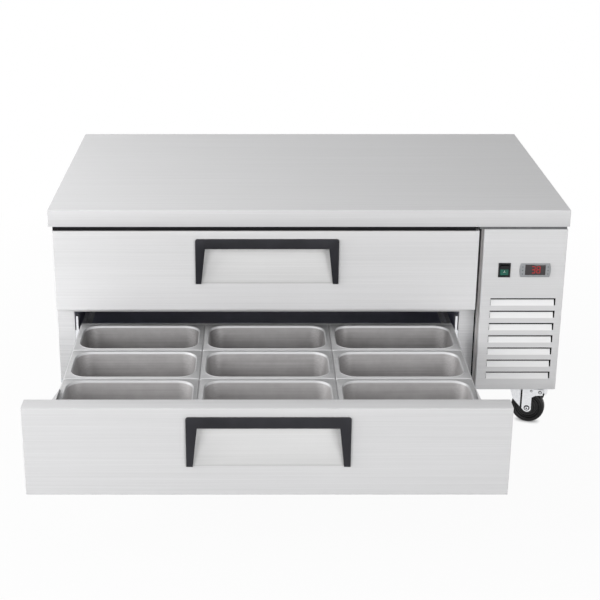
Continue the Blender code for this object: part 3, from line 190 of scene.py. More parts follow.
# Each maker's usual look, and each finish's own; the first finish of a slot also paints its CAD nodes
finishes = (
    (brushedSheet, {"metallic": 0.10, "roughness": 0.55, "shine": 0.3, "grain": (4.0, 900.0),
                    "streak": (1.6, 240.0, 240.0), "bump": 0.08, "slot": "brushed_steel"}, {
        "steelPanel": {"tones": ((0.625, 0.625, 0.630), (0.690, 0.690, 0.698))},
        # painted light: the upper front is a lighter copy of the panel steel, lighter still towards its bottom,
        # against the shade it gets above the open drawer
        "frontSteel": {"tones": ((0.660, 0.660, 0.665), (0.790, 0.790, 0.798)), "fade": (2, 0.50, 0.38)},
        # painted light: the face frame grows lighter towards the right, against the shade on the right stile
        "frameSteel": {"tones": ((0.600, 0.600, 0.605), (0.850, 0.850, 0.858)), "fade": (0, 0.38, 0.43)},
        # painted light: the slats are a lighter copy of the panel's own steel, standing in for the light they
        # catch
        "slatSteel": {"tones": ((0.75, 0.75, 0.755), (0.80, 0.80, 0.805)), "roughness": 0.50, "bump": 0.06},
        # painted light: the pocket steel is lighter towards the pocket's top, against the shade under the
        # handle
        "pocketSteel": {"tones": ((0.52, 0.52, 0.52), (0.87, 0.87, 0.87)), "rise": (0.2009, 0.1155, 0.4266),
                        "slot": "pocket_steel"},
        # painted light: the liner's bluish tone stands in for the cool light inside the cabinet
        "linerSteel": {"tones": ((0.58, 0.59, 0.68), (0.68, 0.69, 0.78)), "metallic": 0.8, "roughness": 0.42,
                       "grain": (4.0, 700.0), "streak": (1.6, 120.0, 120.0), "slot": "liner_steel"}}),
    (pressedSheet, {"metallic": 0.5, "roughness": 0.50, "shine": 0.3, "bump": 0.12, "slot": "pan_steel"}, {
        # painted shade and highlight: the pan wells darken towards the back, and rims facing the front take a
        # painted highlight colour
        "panSteel": {"tones": ((0.240, 0.233, 0.233), (0.440, 0.429, 0.429)), "mottle": 30.0,
                     "marks": (3.0, 260.0, 260.0), "rims": (0.2907, 0.5163), "rimHeight": (0.0038, 0.0062),
                     "along": (-0.05, -0.55), "rimTones": ((0.40, 0.40, 0.405), (0.46, 0.46, 0.465)),
                     "edge": (0.66, 0.66, 0.67), "highlightFacing": (-0.12, -0.5)}}),
    (platedMetal, {"metallic": 0.8, "shine": 0.3, "bump": 0.05, "slot": "zinc_plate"}, {
        "zincPlate": {"tones": ((0.78, 0.79, 0.81), (0.88, 0.89, 0.91)), "roughness": 0.30, "speckle": 220.0,
                      "bump": 0.08},
        # painted shade: the black of the axle washers and thread ends stands in for the ring of shade round
        # each nut
        "boltBlack": {"tones": ((0.030, 0.030, 0.032), (0.055, 0.055, 0.058)), "roughness": 0.35,
                      "speckle": 300.0},
        "galvanised": {"tones": ((0.56, 0.58, 0.60), (0.64, 0.66, 0.68)), "roughness": 0.46, "speckle": 170.0,
                       "slot": "galvanised_steel"},
        "rawAluminium": {"tones": ((0.70, 0.71, 0.72), (0.80, 0.81, 0.82)), "roughness": 0.40,
                         "speckle": 160.0, "slot": "aluminium"}}),
    (mouldedPlastic, {"shine": 0.2, "texture": 1600.0, "wear": 40.0, "bump": 0.05, "slot": "black_plastic"}, {
        "handlePlastic": {"tones": ((0.015, 0.015, 0.018), (0.029, 0.029, 0.035)), "roughness": 0.42,
                          "texture": 1400.0, "wear": 9.0, "bump": 0.10},
        "switchBlack": {"tones": ((0.010, 0.010, 0.011), (0.018, 0.018, 0.020)), "roughness": 0.34},
        "trimGrey": {"tones": ((0.40, 0.385, 0.38), (0.46, 0.44, 0.435)), "roughness": 0.55,
                     "texture": 900.0, "wear": 20.0},
        "displayWindow": {"tones": ((0.030, 0.024, 0.026), (0.040, 0.032, 0.034)), "roughness": 0.16,
                          "texture": 900.0, "wear": 30.0, "coat": 0.6, "bump": 0.01},
        "blackEnamel": {"tones": ((0.012, 0.012, 0.013), (0.02, 0.02, 0.022)), "roughness": 0.30,
                        "texture": 900.0, "wear": 8.0, "coat": 0.5, "bump": 0.03, "slot": "black_enamel"}}),
    (mouldedPlastic, {"shine": 0.2, "texture": 1600.0, "wear": 40.0, "bump": 0.02, "slot": "grey_plastic"}, {
        "bezelGrey": {"tones": ((0.29, 0.30, 0.31), (0.34, 0.35, 0.365)), "roughness": 0.45, "bump": 0.06},
        "keyPrint": {"tones": ((0.13, 0.135, 0.14), (0.17, 0.175, 0.18)), "roughness": 0.50},
        "paleMark": {"tones": ((0.50, 0.60, 0.54), (0.58, 0.68, 0.62)), "roughness": 0.45, "wear": 60.0}}),
    (mouldedPlastic, {"shine": 0.2, "texture": 700.0, "wear": 12.0, "bump": 0.10, "slot": "black_rubber"}, {
        "gasketRubber": {"tones": ((0.030, 0.030, 0.032), (0.048, 0.048, 0.050)), "roughness": 0.68},
        # painted shade: this black is for strips put where there is only shade, in the gaps under the worktop
        # and beside the louvre panel
        "sealBlack": {"tones": ((0.006, 0.006, 0.007), (0.012, 0.012, 0.013)), "roughness": 0.75,
                      "shine": 0.1},
        "filterFoam": {"tones": ((0.006, 0.006, 0.006), (0.014, 0.014, 0.014)), "roughness": 0.9,
                       "wear": 200.0, "bump": 0.4},
        "tyreRubber": {"tones": ((0.003, 0.003, 0.003), (0.007, 0.007, 0.008)), "roughness": 0.42,
                       "texture": 900.0, "wear": 60.0, "shine": 0.25},
        "hubPlastic": {"tones": ((0.008, 0.008, 0.009), (0.014, 0.014, 0.015)), "roughness": 0.30,
                       "texture": 1100.0, "wear": 50.0, "shine": 0.35, "bump": 0.05}}),
    (mouldedPlastic, {"shine": 0.2, "texture": 900.0, "wear": 60.0, "bump": 0.02, "slot": "switch_green"}, {
        "switchGlow": {"tones": ((0.004, 0.065, 0.045), (0.008, 0.095, 0.065)), "roughness": 0.25,
                       "coat": 0.4, "glow": 0.06, "patch": 90.0,
                       "light": ((0.02, 0.30, 0.20), (0.06, 0.50, 0.34))},
        "digitGlow": {"tones": ((0.30, 0.02, 0.02), (0.36, 0.03, 0.03)), "roughness": 0.40,
                      "glow": 0.13, "patch": 120.0, "light": ((0.80, 0.035, 0.04), (1.0, 0.06, 0.06))}}))
paint, slotOf, nodePaint = {}, {}, {}
for maker, usual, looks in finishes:
    for name, own in looks.items():
        paint[name] = maker(name, {**usual, **own})
        slotOf[name] = {**usual, **own}["slot"]
        nodePaint.setdefault(slotOf[name], paint[name])
for row in frame["record"]["subparts"]:
    node = frame["nodes"][row["node"]]
    node.data.materials.clear()
    node.data.materials.append(nodePaint[row["material_slot"]])
print("finishes made:", len(paint))


# Modelling by hand: a primitive, edit mode, picked faces and edges, operators

def deselectAll():
    bpy.ops.object.select_all(action="DESELECT")


def activate(piece):
    deselectAll()
    piece.select_set(True)
    bpy.context.view_layer.objects.active = piece


def editing(piece):
    activate(piece)
    bpy.ops.object.mode_set(mode="EDIT")


def leave():
    bpy.ops.object.mode_set(mode="OBJECT")


def named(name):
    piece = bpy.context.object
    piece.name = piece.data.name = name
    return piece


def settled(name):  # puts a new primitive's place into its mesh
    bpy.ops.object.transform_apply(location=True, rotation=True, scale=True)
    return named(name)


def addBox(name, low, high):
    deselectAll()
    low, high = Vector(low), Vector(high)
    bpy.ops.mesh.primitive_cube_add(size=1, location=(low + high) / 2, scale=high - low)
    return settled(name)


def addSheet(name, low, high, turn=0.0):  # a flat sheet that faces up, or turned about X
    deselectAll()
    low, high = Vector(low), Vector(high)
    size = high - low
    bpy.ops.mesh.primitive_plane_add(size=1, location=(low + high) / 2, rotation=(turn, 0, 0))
    bpy.context.object.scale = (size.x, size.z if turn else size.y, 1)
    return settled(name)


def middle(item):
    return sum((vert.co for vert in item.verts), Vector()) / len(item.verts)


def near(value, place, room=1e-5):
    return abs(value - place) < room


def lies(item, axis, place):  # all of it is at one place along an axis
    return all(near(vert.co[axis], place) for vert in item.verts)


def inside(item, **spans):  # its middle is between two places along each named axis
    spot = middle(item)
    return all(low < getattr(spot, axis) < high for axis, (low, high) in spans.items())


def bent(edge, least=1.0):
    return edge.calc_face_angle(0) > least


def reach(edge, axis):
    return abs(edge.verts[0].co[axis] - edge.verts[1].co[axis])


def pickAll():
    bpy.ops.mesh.select_all(action="SELECT")


def pick(kind, test):
    bpy.ops.mesh.select_mode(type=kind)
    bpy.ops.mesh.select_all(action="DESELECT")
    mesh = bpy.context.object.data
    shape = bmesh.from_edit_mesh(mesh)
    for item in {"FACE": shape.faces, "EDGE": shape.edges, "VERT": shape.verts}[kind]:
        if test(item):
            item.select_set(True)
    shape.select_flush_mode()
    bmesh.update_edit_mesh(mesh)


def cutAt(axis, *places):  # straight cuts through everything, square to an axis
    across = [float(axis == index) for index in range(3)]
    for place in places:
        pickAll()
        bpy.ops.mesh.bisect(plane_co=[place * way for way in across], plane_no=across)


def inset(thickness, depth=0.0):
    bpy.ops.mesh.inset(thickness=thickness, depth=depth, use_even_offset=True)


def extrude(x=0.0, y=0.0, z=0.0):
    bpy.ops.mesh.extrude_region_move(TRANSFORM_OT_translate={"value": (x, y, z)})


def pull(test, **way):
    pick("FACE", test)
    extrude(**way)


def shift(x=0.0, y=0.0, z=0.0):
    bpy.ops.transform.translate(value=(x, y, z))


def roundEdges(width, segments, test):
    pick("EDGE", test)
    bpy.ops.mesh.bevel(offset=width, segments=segments, affect="EDGES", profile=0.5)


def roundCorners(sheet, radius, segments):
    editing(sheet)
    pick("VERT", lambda vert: True)
    bpy.ops.mesh.bevel(offset=radius, segments=segments, affect="VERTICES", profile=0.5)
    leave()


def consistent():
    pickAll()
    bpy.ops.mesh.normals_make_consistent(inside=False)


def outward(piece):
    editing(piece)
    pickAll()
    bpy.ops.mesh.remove_doubles(threshold=1e-6)
    consistent()
    leave()


def applied(piece, kind, **settings):
    activate(piece)
    modifier = piece.modifiers.new(kind, kind)
    for name, value in settings.items():
        setattr(modifier, name, value)
    bpy.ops.object.modifier_apply(modifier=modifier.name)


def softened(piece, width, segments=2, angle=35):  # every sharp edge rounded
    applied(piece, "BEVEL", width=width, segments=segments, limit_method="ANGLE",
            angle_limit=math.radians(angle))


def thickened(piece, thickness, offset=-1.0):
    applied(piece, "SOLIDIFY", thickness=thickness, offset=offset)


def smoothed(piece, angle=32):
    activate(piece)
    bpy.ops.object.shade_smooth_by_angle(angle=math.radians(angle))


def dropped(*pieces):
    for piece in pieces:
        bpy.data.objects.remove(piece, do_unlink=True)


def carved(piece, cutter, operation="DIFFERENCE"):
    applied(piece, "BOOLEAN", object=cutter, operation=operation, solver="EXACT")
    dropped(cutter)


def bored(piece, vertices, radius, place):  # a round hole along Z
    deselectAll()
    bpy.ops.mesh.primitive_cylinder_add(vertices=vertices, radius=radius, depth=0.02, location=place)
    carved(piece, bpy.context.object)


def widestLevel(faces, area):  # which way the widest level face looks
    return max((face for face in faces if abs(face.normal.z) > 0.9), key=area).normal.z


def faceUp(piece):
    return widestLevel(piece.data.polygons, lambda face: face.area)


def chain(name, points):  # one vertex drawn out through a row of points
    deselectAll()
    bpy.ops.mesh.primitive_plane_add(size=0.01, location=points[0])
    piece = settled(name)
    editing(piece)
    bpy.ops.mesh.select_mode(type="VERT")
    pickAll()
    bpy.ops.mesh.merge(type="CENTER")
    for before, after in zip(points, points[1:]):
        extrude(*(Vector(after) - Vector(before)))
    pickAll()
    return piece


def spun(name, profile, steps, centre=(0, 0, 0), axis=(0, 0, 1), smooth=32, closed=False):
    # the profile's points are (radius, height) about the axis
    profile = [*profile, profile[0]] if closed else profile
    piece = chain(name, [Vector(centre) + Vector((1, 0, 0)) * radius + Vector(axis) * height
                         for radius, height in profile])
    bpy.ops.mesh.spin(steps=steps, angle=2 * math.pi, center=centre, axis=axis)
    leave()
    outward(piece)
    smoothed(piece, smooth)
    return piece


def cutOut(name, outline, axis, thickness):  # a closed outline filled and pulled to a thickness
    piece = chain(name, list(outline))
    bpy.ops.mesh.edge_face_add()
    pickAll()
    extrude(**{axis: thickness})
    leave()
    outward(piece)
    return piece


def copied(piece, name, matrix):
    twin = piece.copy()
    twin.data = piece.data.copy()
    twin.name = twin.data.name = name
    twin.data.transform(matrix)
    bpy.context.scene.collection.objects.link(twin)
    return twin


def joined(pieces, name):
    deselectAll()
    for piece in pieces:
        piece.select_set(True)
    bpy.context.view_layer.objects.active = pieces[0]
    bpy.ops.object.join()
    return named(name)


def aimed(place, towards, spin=0.0):  # turns +Z of a pattern to a direction, at a place
    turn = Vector(towards).to_track_quat("Z", "Y").to_matrix().to_4x4()
    return Matrix.Translation(place) @ turn @ Matrix.Rotation(spin, 4, "Z")


def fitted(piece, finish, *stands, body="cabinet", slot=None, smooth=None):
    if smooth:
        smoothed(piece, smooth)
    piece.data.materials.clear()
    piece.data.materials.append(paint[finish])
    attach(piece, body)
    if stands:
        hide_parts(*stands)


def addStrip(name, low, high, edge, finish, slot=None):  # a plain softened length of painted-shade strip, trim or mesh
    strip = addBox(name, low, high)
    softened(strip, edge)
    fitted(strip, finish, slot=slot)


# Worktop: a folded slab with a soft front edge and a return under its rim, and dark strips under it as painted
# shade

worktop = {"edge": 0.0022, "return": 0.022, "recess": 0.012, "shadeLayer": (0.0005, 0.0012, 0.0003),
           "shadeStripStart": 0.002, "shadeStripThick": 0.003, "shadeStripClear": 0.0007, "shadeStripShort": 0.0095}


def makeWorktop():
    low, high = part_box("worktop")
    slab = addBox("worktopSlab", low, high)
    editing(slab)
    pick("FACE", lambda face: face.normal.z < -0.5)
    inset(worktop["return"])
    extrude(z=worktop["recess"])
    roundEdges(worktop["edge"], 4, lambda edge: lies(edge, 2, high.z)
               or reach(edge, 2) > worktop["recess"] * 1.5)
    roundEdges(worktop["edge"] * 0.4, 2, lambda edge: lies(edge, 2, low.z) and bent(edge))
    leave()
    fitted(slab, "steelPanel", "worktop", smooth=32)
    # painted shade: a dark sheet inside the slab's underside recess, darkening the gap seen under the worktop
    side, foot, head = worktop["shadeLayer"]
    room = worktop["return"] + side
    addStrip("worktopShadeLayer", (low.x + room, low.y + room, low.z + foot),
             (high.x - room, high.y - room, low.z + worktop["recess"] - head), 0.0008, "gasketRubber")
    # painted shade: dark strips hung just behind the worktop's front, darkening the gap above the drawer front
    # and the panel
    frontLow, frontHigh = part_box("upper_drawer_front")
    panelLow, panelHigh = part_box("front_louvre_panel")
    start, clear = frontLow.y + worktop["shadeStripStart"], worktop["shadeStripClear"]
    for name, left, right, bottom, finish in (
            ("worktopShadeStrip", frontLow.x + 0.001, frontHigh.x - worktop["shadeStripShort"], frontHigh.z + clear,
             "sealBlack"),
            ("panelShadeStrip", frontHigh.x, panelHigh.x - 0.003, panelHigh.z + clear * 0.4, "keyPrint")):
        addStrip(name, (left, start, bottom), (right, start + worktop["shadeStripThick"], low.z - 0.0002), 0.0005,
                 finish, "black_rubber")


makeWorktop()
print("worktop done")


# Drawers: a front with a wedge hollow for its pocket, a handle frame, a gasket and two side plates

front = {"edge": 0.0016, "backEdge": 0.0008, "knee": 0.090, "depth": 0.030, "room": 0.0004,
         "finish": {"upper": "frontSteel", "lower": "steelPanel"}}
handle = {"edge": 0.0016, "corner": 0.0055, "bar": 0.0256, "legTop": 0.0251, "legFoot": 0.0146, "gap": 0.0003,
          "gripDepth": 0.009, "gripLow": 0.002, "gripHigh": 0.006, "gripDrop": 0.001}
drawerSeal = {"profile": ((0.0022, 0.0050), (0.0008, 0.0030), (0.0006, 0.0010), (0.0012, 0.0),
                          (0.0004, -0.0010), (0.0008, 0.0), (0.0004, 0.0010), (0.0012, 0.0),
                          (0.0006, -0.0010), (0.0008, -0.0030), (0.0020, -0.0050))}
gusset = {"length": 0.175, "foot": 0.0022, "sheet": 0.0012, "flange": 0.012, "inset": 0.0008, "drop": 0.0063,
          "level": 0.012, "rises": {"upper": (0.026, 0.012), "lower": (0.0385, 0.018)}}


def makeFront(level):
    low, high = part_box(level + "_drawer_front")
    pocketLow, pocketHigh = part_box(level + "_drawer_pocket")
    room = front["room"]
    across, up = (pocketLow.x - room, pocketHigh.x + room), (pocketLow.z - room, pocketHigh.z + room)
    slab = addBox(level + "Front", low, high)
    editing(slab)
    cutAt(0, *across)
    cutAt(2, *up, up[0] + front["knee"])
    pull(lambda item: item.normal.y < -0.5 and inside(item, x=across, z=up), y=front["depth"] + room)
    pick("VERT", lambda vert: near(vert.co.y, low.y + front["depth"] + room) and near(vert.co.z, up[0]))
    shift(y=-front["depth"])
    roundEdges(front["edge"], 4, lambda edge: lies(edge, 1, low.y) and any(
        lies(edge, axis, end[axis]) for axis in (0, 2) for end in (low, high)))
    roundEdges(front["backEdge"], 2, lambda edge: lies(edge, 1, high.y) and bent(edge))
    leave()
    fitted(slab, front["finish"][level], level + "_drawer_front", body=level + "_drawer", smooth=32)


def makeHandle(level):
    low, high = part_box(level + "_drawer_handle")
    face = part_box(level + "_drawer_front")[0].y
    foot = high.z - handle["bar"]
    grip = (foot + handle["gripLow"], foot + handle["gripHigh"])
    inner = (low.x + handle["legTop"], high.x - handle["legTop"])
    bow = addBox(level + "Handle", (low.x, low.y, foot), (high.x, face - handle["gap"], high.z))
    editing(bow)
    cutAt(0, *inner)
    pull(lambda item: item.normal.z < -0.5 and not inside(item, x=inner), z=low.z - foot)
    for x, way in zip(inner, (-1, 1)):
        pick("VERT", lambda vert: near(vert.co.x, x) and near(vert.co.z, low.z))
        shift(x=way * (handle["legTop"] - handle["legFoot"]))
    roundEdges(handle["corner"], 5, lambda edge: reach(edge, 1) > 0.003 and near(middle(edge).z, high.z)
               and not inside(edge, x=(inner[0] - 0.001, inner[1] + 0.001)))
    roundEdges(handle["edge"], 3, lambda edge: lies(edge, 1, low.y) and bent(edge))
    cutAt(2, *grip)
    pull(lambda item: item.normal.y > 0.5 and inside(item, x=inner, z=grip), y=handle["gripDepth"])
    pick("FACE", lambda item: item.normal.y > 0.5 and middle(item).y > face + handle["gripDepth"] / 2)
    shift(z=-handle["gripDrop"])
    leave()
    fitted(bow, "handlePlastic", level + "_drawer_handle", body=level + "_drawer", smooth=32)


def makeDrawerSeal(level):  # a gasket ring whose flanks slope to its sealing face
    low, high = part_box(level + "_drawer_gasket")
    seal = addSheet(level + "DrawerSeal", low, (high.x, low.y, high.z), -math.pi / 2)
    editing(seal)
    pickAll()
    for width, rise in drawerSeal["profile"]:
        inset(width, rise)
    bpy.ops.mesh.delete(type="FACE")
    pick("EDGE", lambda edge: len(edge.link_faces) == 1)
    bpy.ops.mesh.bridge_edge_loops()
    leave()
    outward(seal)
    fitted(seal, "gasketRubber", level + "_drawer_gasket", body=level + "_drawer", smooth=30)


def makeGussets(level):  # folded side plates that tie the tray to its front
    low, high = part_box(level + "_drawer_tray")
    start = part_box(level + "_drawer_front")[1].y + 0.0002
    end, sheet = start + gusset["length"], gusset["sheet"]
    pieces = []
    for side, rise, inward in zip((low.x + gusset["inset"], high.x - gusset["inset"] - sheet),
                                  gusset["rises"][level], (1, -1)):
        slope = ((start + gusset["level"], high.z + rise), (end, high.z + gusset["foot"]))
        outline = ((start, high.z - gusset["drop"]), (start, high.z + rise), *slope,
                   (end, high.z - gusset["drop"]))
        plate = cutOut("gusset", [(side, *spot) for spot in outline], "x", sheet)
        softened(plate, 0.0003, 2, 50)
        edge = side if inward > 0 else side + sheet
        fold = cutOut("flange", [(edge, *slope[0]), (edge + inward * gusset["flange"], *slope[0]),
                                 (edge, *slope[1])], "z", sheet * 0.8)
        softened(fold, 0.0002, 2, 50)
        pieces += [plate, fold]
    fitted(joined(pieces, level + "Gussets"), "steelPanel", body=level + "_drawer")


for level in ("upper", "lower"):
    for make in (makeFront, makeHandle, makeDrawerSeal, makeGussets):
        make(level)
print("drawer fronts and handles done")


# Front louvre panel: a pressed pan whose slats lean in from the lower edge of their slots

louvre = {"sheet": 0.0012, "count": 7, "topShare": 0.4193, "pitchShare": 0.07746,
          "heightShare": 0.5843, "left": 0.0256, "right": 0.018, "leftGap": 0.0013, "rightGap": 0.0034,
          "riseShare": 0.72, "lean": 0.0052, "curl": 0.0016, "fold": 0.0018, "slatFold": 0.0009,
          "holes": {"switch_bezel": 0.0022, "controller": 0.0037},
          "filterRoom": 0.006, "filterStart": 0.016, "filterThick": 0.005,
          # gasket and shadeStripBack place a black strip that is painted shade in the gap beside the panel
          "gasket": (0.0042, 0.0010), "shadeStripBack": (0.0014, 0.0001),
          # trim places a guessed grey breaker strip, its pale tone also painted light on the shaded return
          "trim": (0.0055, 0.0001), "trimStart": 0.0131, "trimThick": 0.003}


def makeLouvrePanel():
    low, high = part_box("front_louvre_panel")
    height, face = high.z - low.z, low.y
    left, right = low.x + louvre["left"], high.x - louvre["right"]
    pitch = louvre["pitchShare"] * height
    slotHeight = louvre["heightShare"] * pitch
    slots = []
    for index in range(louvre["count"]):
        bottom = high.z - louvre["topShare"] * height - index * pitch - slotHeight
        slots.append((left, right, bottom, bottom + slotHeight))
    holes = list(slots)
    for node, room in louvre["holes"].items():
        holeLow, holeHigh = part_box(node)
        holes.append((holeLow.x + room, holeHigh.x - room, holeLow.z + room, holeHigh.z - room))
    inner = (left + louvre["leftGap"], right - louvre["rightGap"])
    panel = addSheet("louvrePanel", (low.x, face, low.z), (high.x, face, high.z), math.pi / 2)
    editing(panel)
    cutAt(0, *sorted({edge for hole in holes for edge in hole[:2]} | set(inner)))
    cutAt(2, *sorted({edge for hole in holes for edge in hole[2:]}))
    pick("FACE", lambda item: any(inside(item, x=hole[:2], z=hole[2:]) for hole in holes))
    bpy.ops.mesh.delete(type="FACE")

    def onSill(edge):
        return inside(edge, x=inner) and any(lies(edge, 2, slot[2]) for slot in slots)
    pick("EDGE", onSill)
    extrude(y=louvre["lean"], z=slotHeight * louvre["riseShare"])
    extrude(y=louvre["curl"])
    roundEdges(louvre["slatFold"], 3, lambda edge: onSill(edge) and bent(edge, 0.1))
    pick("FACE", lambda item: middle(item).y > face + 0.00005)
    bpy.ops.mesh.separate(type="SELECTED")
    sides = [(axis, end[axis]) for axis in (0, 2) for end in (low, high)]
    pick("EDGE", lambda edge: any(lies(edge, *side) for side in sides))
    extrude(y=high.y - face)
    roundEdges(louvre["fold"], 4, lambda edge: bent(edge)
               and any(near(middle(edge)[axis], place) for axis, place in sides))
    consistent()
    leave()
    slats = next(item for item in bpy.context.selected_objects if item != panel)
    slats.name = slats.data.name = "louvreSlats"
    for piece, finish, stands in ((panel, "steelPanel", ["front_louvre_panel"]), (slats, "slatSteel", [])):
        thickened(piece, louvre["sheet"])
        fitted(piece, finish, *stands, smooth=32)
    frameFace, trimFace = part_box("face_frame")[0].y, face + louvre["trimStart"]
    for name, (out, clear), (start, end), (foot, head), edge, finish in (
            # painted shade: a black strip in the gap between the face frame and the panel
            ("bayShadeStrip", louvre["gasket"], [frameFace - back for back in louvre["shadeStripBack"]],
             (0.008, 0.001), 0.0004, "sealBlack"),
            # a guessed grey breaker strip, whose pale tone is also painted light on the shaded return
            ("bayTrim", louvre["trim"], (trimFace, trimFace + louvre["trimThick"]),
             (0.004, 0.002), 0.0006, "trimGrey")):
        addStrip(name, (low.x - out, start, low.z + foot), (low.x - clear, end, high.z - head), edge, finish)
    makeFilter((left, right), (slots[-1][2], slots[0][3]), face + louvre["filterStart"])


def makeFilter(across, up, start):  # the dark foam filter in its frame, close behind the slots
    room, thick = louvre["filterRoom"], louvre["filterThick"]
    foam = addBox("airFilter", (across[0] - room, start, up[0] - room),
                  (across[1] + room, start + thick, up[1] + room))
    editing(foam)
    pick("FACE", lambda item: item.normal.y < -0.5)
    inset(room * 0.6)
    extrude(y=thick * 0.3)
    leave()
    softened(foam, 0.0006)
    fitted(foam, "filterFoam", smooth=32)


makeLouvrePanel()
print("louvre panel done")


# Cabinet: the folded face frame, the case's skin, the bay cover with pressed rear vents, a rear panel

cabinet = {"frameEdge": 0.0012, "skinEdge": 0.0020, "sheet": 0.0012, "return": 0.016, "bend": 0.0024,
           "slots": 9, "slotHeight": 0.008, "slotPitch": 0.030, "slotSide": 0.030, "slotStart": 0.050,
           "hood": (0.0036, -0.0058), "screen": 0.004, "screenBack": (0.006, 0.002), "barDepth": 0.030,
           "seam": 0.0003, "opening": 0.001, "panelEdge": 0.045, "panelSheet": 0.0016, "panelLand": 0.014,
           "panelStep": (0.0015, -0.0008), "screw": (0.0036, 0.0016), "screwIn": 0.007, "screwsAcross": 6,
           "screwsUp": 3, "sideScrews": ((0.08, 0.5, 0.92), 0.012), "rearScrews": (0.010, 0.018)}


def makeFaceFrame():
    low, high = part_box("face_frame")
    room, seam, edge = cabinet["opening"], cabinet["seam"], cabinet["frameEdge"]
    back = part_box("insulated_case")[0].y - seam
    linerLow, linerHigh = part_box("inner_liner")
    left, right = linerLow.x + room, linerHigh.x - room
    (sealLow, sealHigh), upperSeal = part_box("lower_drawer_gasket"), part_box("upper_drawer_gasket")
    grow = (sealHigh.x - sealLow.x - (right - left)) / 2
    bar = (sealHigh.z - grow, upperSeal[0].z + grow)
    plate = addBox("faceFrame", low, (high.x, back, high.z))
    for bottom, top in ((linerLow.z + room, bar[0]), (bar[1], linerHigh.z - room)):
        carved(plate, addBox("opening", (left, low.y - 0.01, bottom), (right, high.y + 0.01, top)))
    softened(plate, edge, 3, 50)
    mullion = addBox("mullionBar", (left + seam, back - seam, bar[0]),
                     (right - seam, low.y + cabinet["barDepth"], bar[1]))
    softened(mullion, edge, 2, 50)
    fitted(joined([plate, mullion], "faceFrame"), "frameSteel", "face_frame", smooth=32)


def makeCaseSkin():
    low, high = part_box("insulated_case")
    linerLow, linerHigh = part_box("inner_liner")
    seam = cabinet["seam"]
    skin = addBox("caseSkin", low, high)
    editing(skin)
    for axis in (0, 2):
        cutAt(axis, linerLow[axis] - seam, linerHigh[axis] + seam)
    pull(lambda item: item.normal.y < -0.5 and inside(item, x=(linerLow.x, linerHigh.x),
                                                      z=(linerLow.z, linerHigh.z)),
         y=linerHigh.y + seam - low.y)
    roundEdges(cabinet["skinEdge"], 4, lambda edge: lies(edge, 1, high.y) and bent(edge))
    leave()
    fitted(skin, "steelPanel", "insulated_case", smooth=32)


def makeBayCover():
    low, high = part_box("bay_cover")
    sides = (low.x - cabinet["seam"] + cabinet["slotSide"], high.x - cabinet["slotSide"])
    starts = [low.z + cabinet["slotStart"] + index * cabinet["slotPitch"] for index in range(cabinet["slots"])]
    slots = [(start, start + cabinet["slotHeight"]) for start in starts]
    cover = chain("bayCover", [(high.x - cabinet["return"], low.y, low.z), (high.x, low.y, low.z),
                               (high.x, high.y, low.z), (low.x, high.y, low.z)])
    extrude(z=high.z - low.z)
    roundEdges(cabinet["bend"], 4, bent)
    cutAt(0, *sides)
    cutAt(2, *sorted({edge for slot in slots for edge in slot}))

    def onBack(item):
        return near(middle(item).y, high.y) and inside(item, x=sides)
    pick("FACE", lambda item: onBack(item) and any(inside(item, z=slot) for slot in slots))
    bpy.ops.mesh.delete(type="FACE")
    pick("EDGE", lambda edge: onBack(edge) and any(lies(edge, 2, slot[1]) for slot in slots))
    extrude(0, *cabinet["hood"])
    consistent()
    leave()
    side = max(cover.data.polygons, key=lambda face: face.area)
    thickened(cover, cabinet["sheet"] * (1 if side.normal.x > 0 else -1))
    fitted(cover, "steelPanel", "bay_cover", smooth=32)
    room, (start, end) = cabinet["screen"], cabinet["screenBack"]
    addStrip("rearScreen", (sides[0] - room, high.y - start, slots[0][0] - room),
             (sides[1] + room, high.y - end, slots[-1][1] + room), 0.0006, "filterFoam")


def makeRearPanel():
    low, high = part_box("insulated_case")
    edge, face = cabinet["panelEdge"], high.y + 0.0002
    low = Vector((low.x + edge, face, low.z + edge * 0.6))
    high = Vector((high.x - edge, face + cabinet["panelSheet"], high.z - edge * 0.6))
    panel = addBox("rearPanel", low, high)
    editing(panel)
    pick("FACE", lambda item: item.normal.y > 0.5)
    inset(cabinet["panelLand"])
    inset(*cabinet["panelStep"])
    leave()
    softened(panel, 0.0004, 2, 50)
    fitted(panel, "galvanised", smooth=25)
    return low, high


def makeCoverScrews(low, high):
    border, across, up = cabinet["screwIn"], cabinet["screwsAcross"], cabinet["screwsUp"]
    ends = {axis: (low[axis] + border, high[axis] - border) for axis in (0, 2)}

    def shared(axis, share):
        return ends[axis][0] + (ends[axis][1] - ends[axis][0]) * share
    spots = [((shared(0, index / (across - 1)), high.y, z), (0, 1, 0), index * 0.7)
             for index in range(across) for z in ends[2]]
    spots += [((x, high.y, shared(2, index / up)), (0, 1, 0), index * 0.5)
              for index in range(1, up) for x in ends[0]]
    coverLow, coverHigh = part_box("bay_cover")
    shares, end = cabinet["sideScrews"]
    spots += [((coverHigh.x, coverLow.y + share * (coverHigh.y - coverLow.y), z), (1, 0, 0), share * 3)
              for share in shares for z in (coverLow.z + end, coverHigh.z - end)]
    side, end = cabinet["rearScrews"]
    spots += [((x, coverHigh.y, z), (0, 1, 0), x * 9) for x in (coverLow.x + side, coverHigh.x - side)
              for z in (coverLow.z + end, coverHigh.z - end)]
    screw = makePanHead(*cabinet["screw"])
    fitted(joined([copied(screw, "coverScrews", aimed(*spot)) for spot in spots], "coverScrews"), "zincPlate")
    dropped(screw)


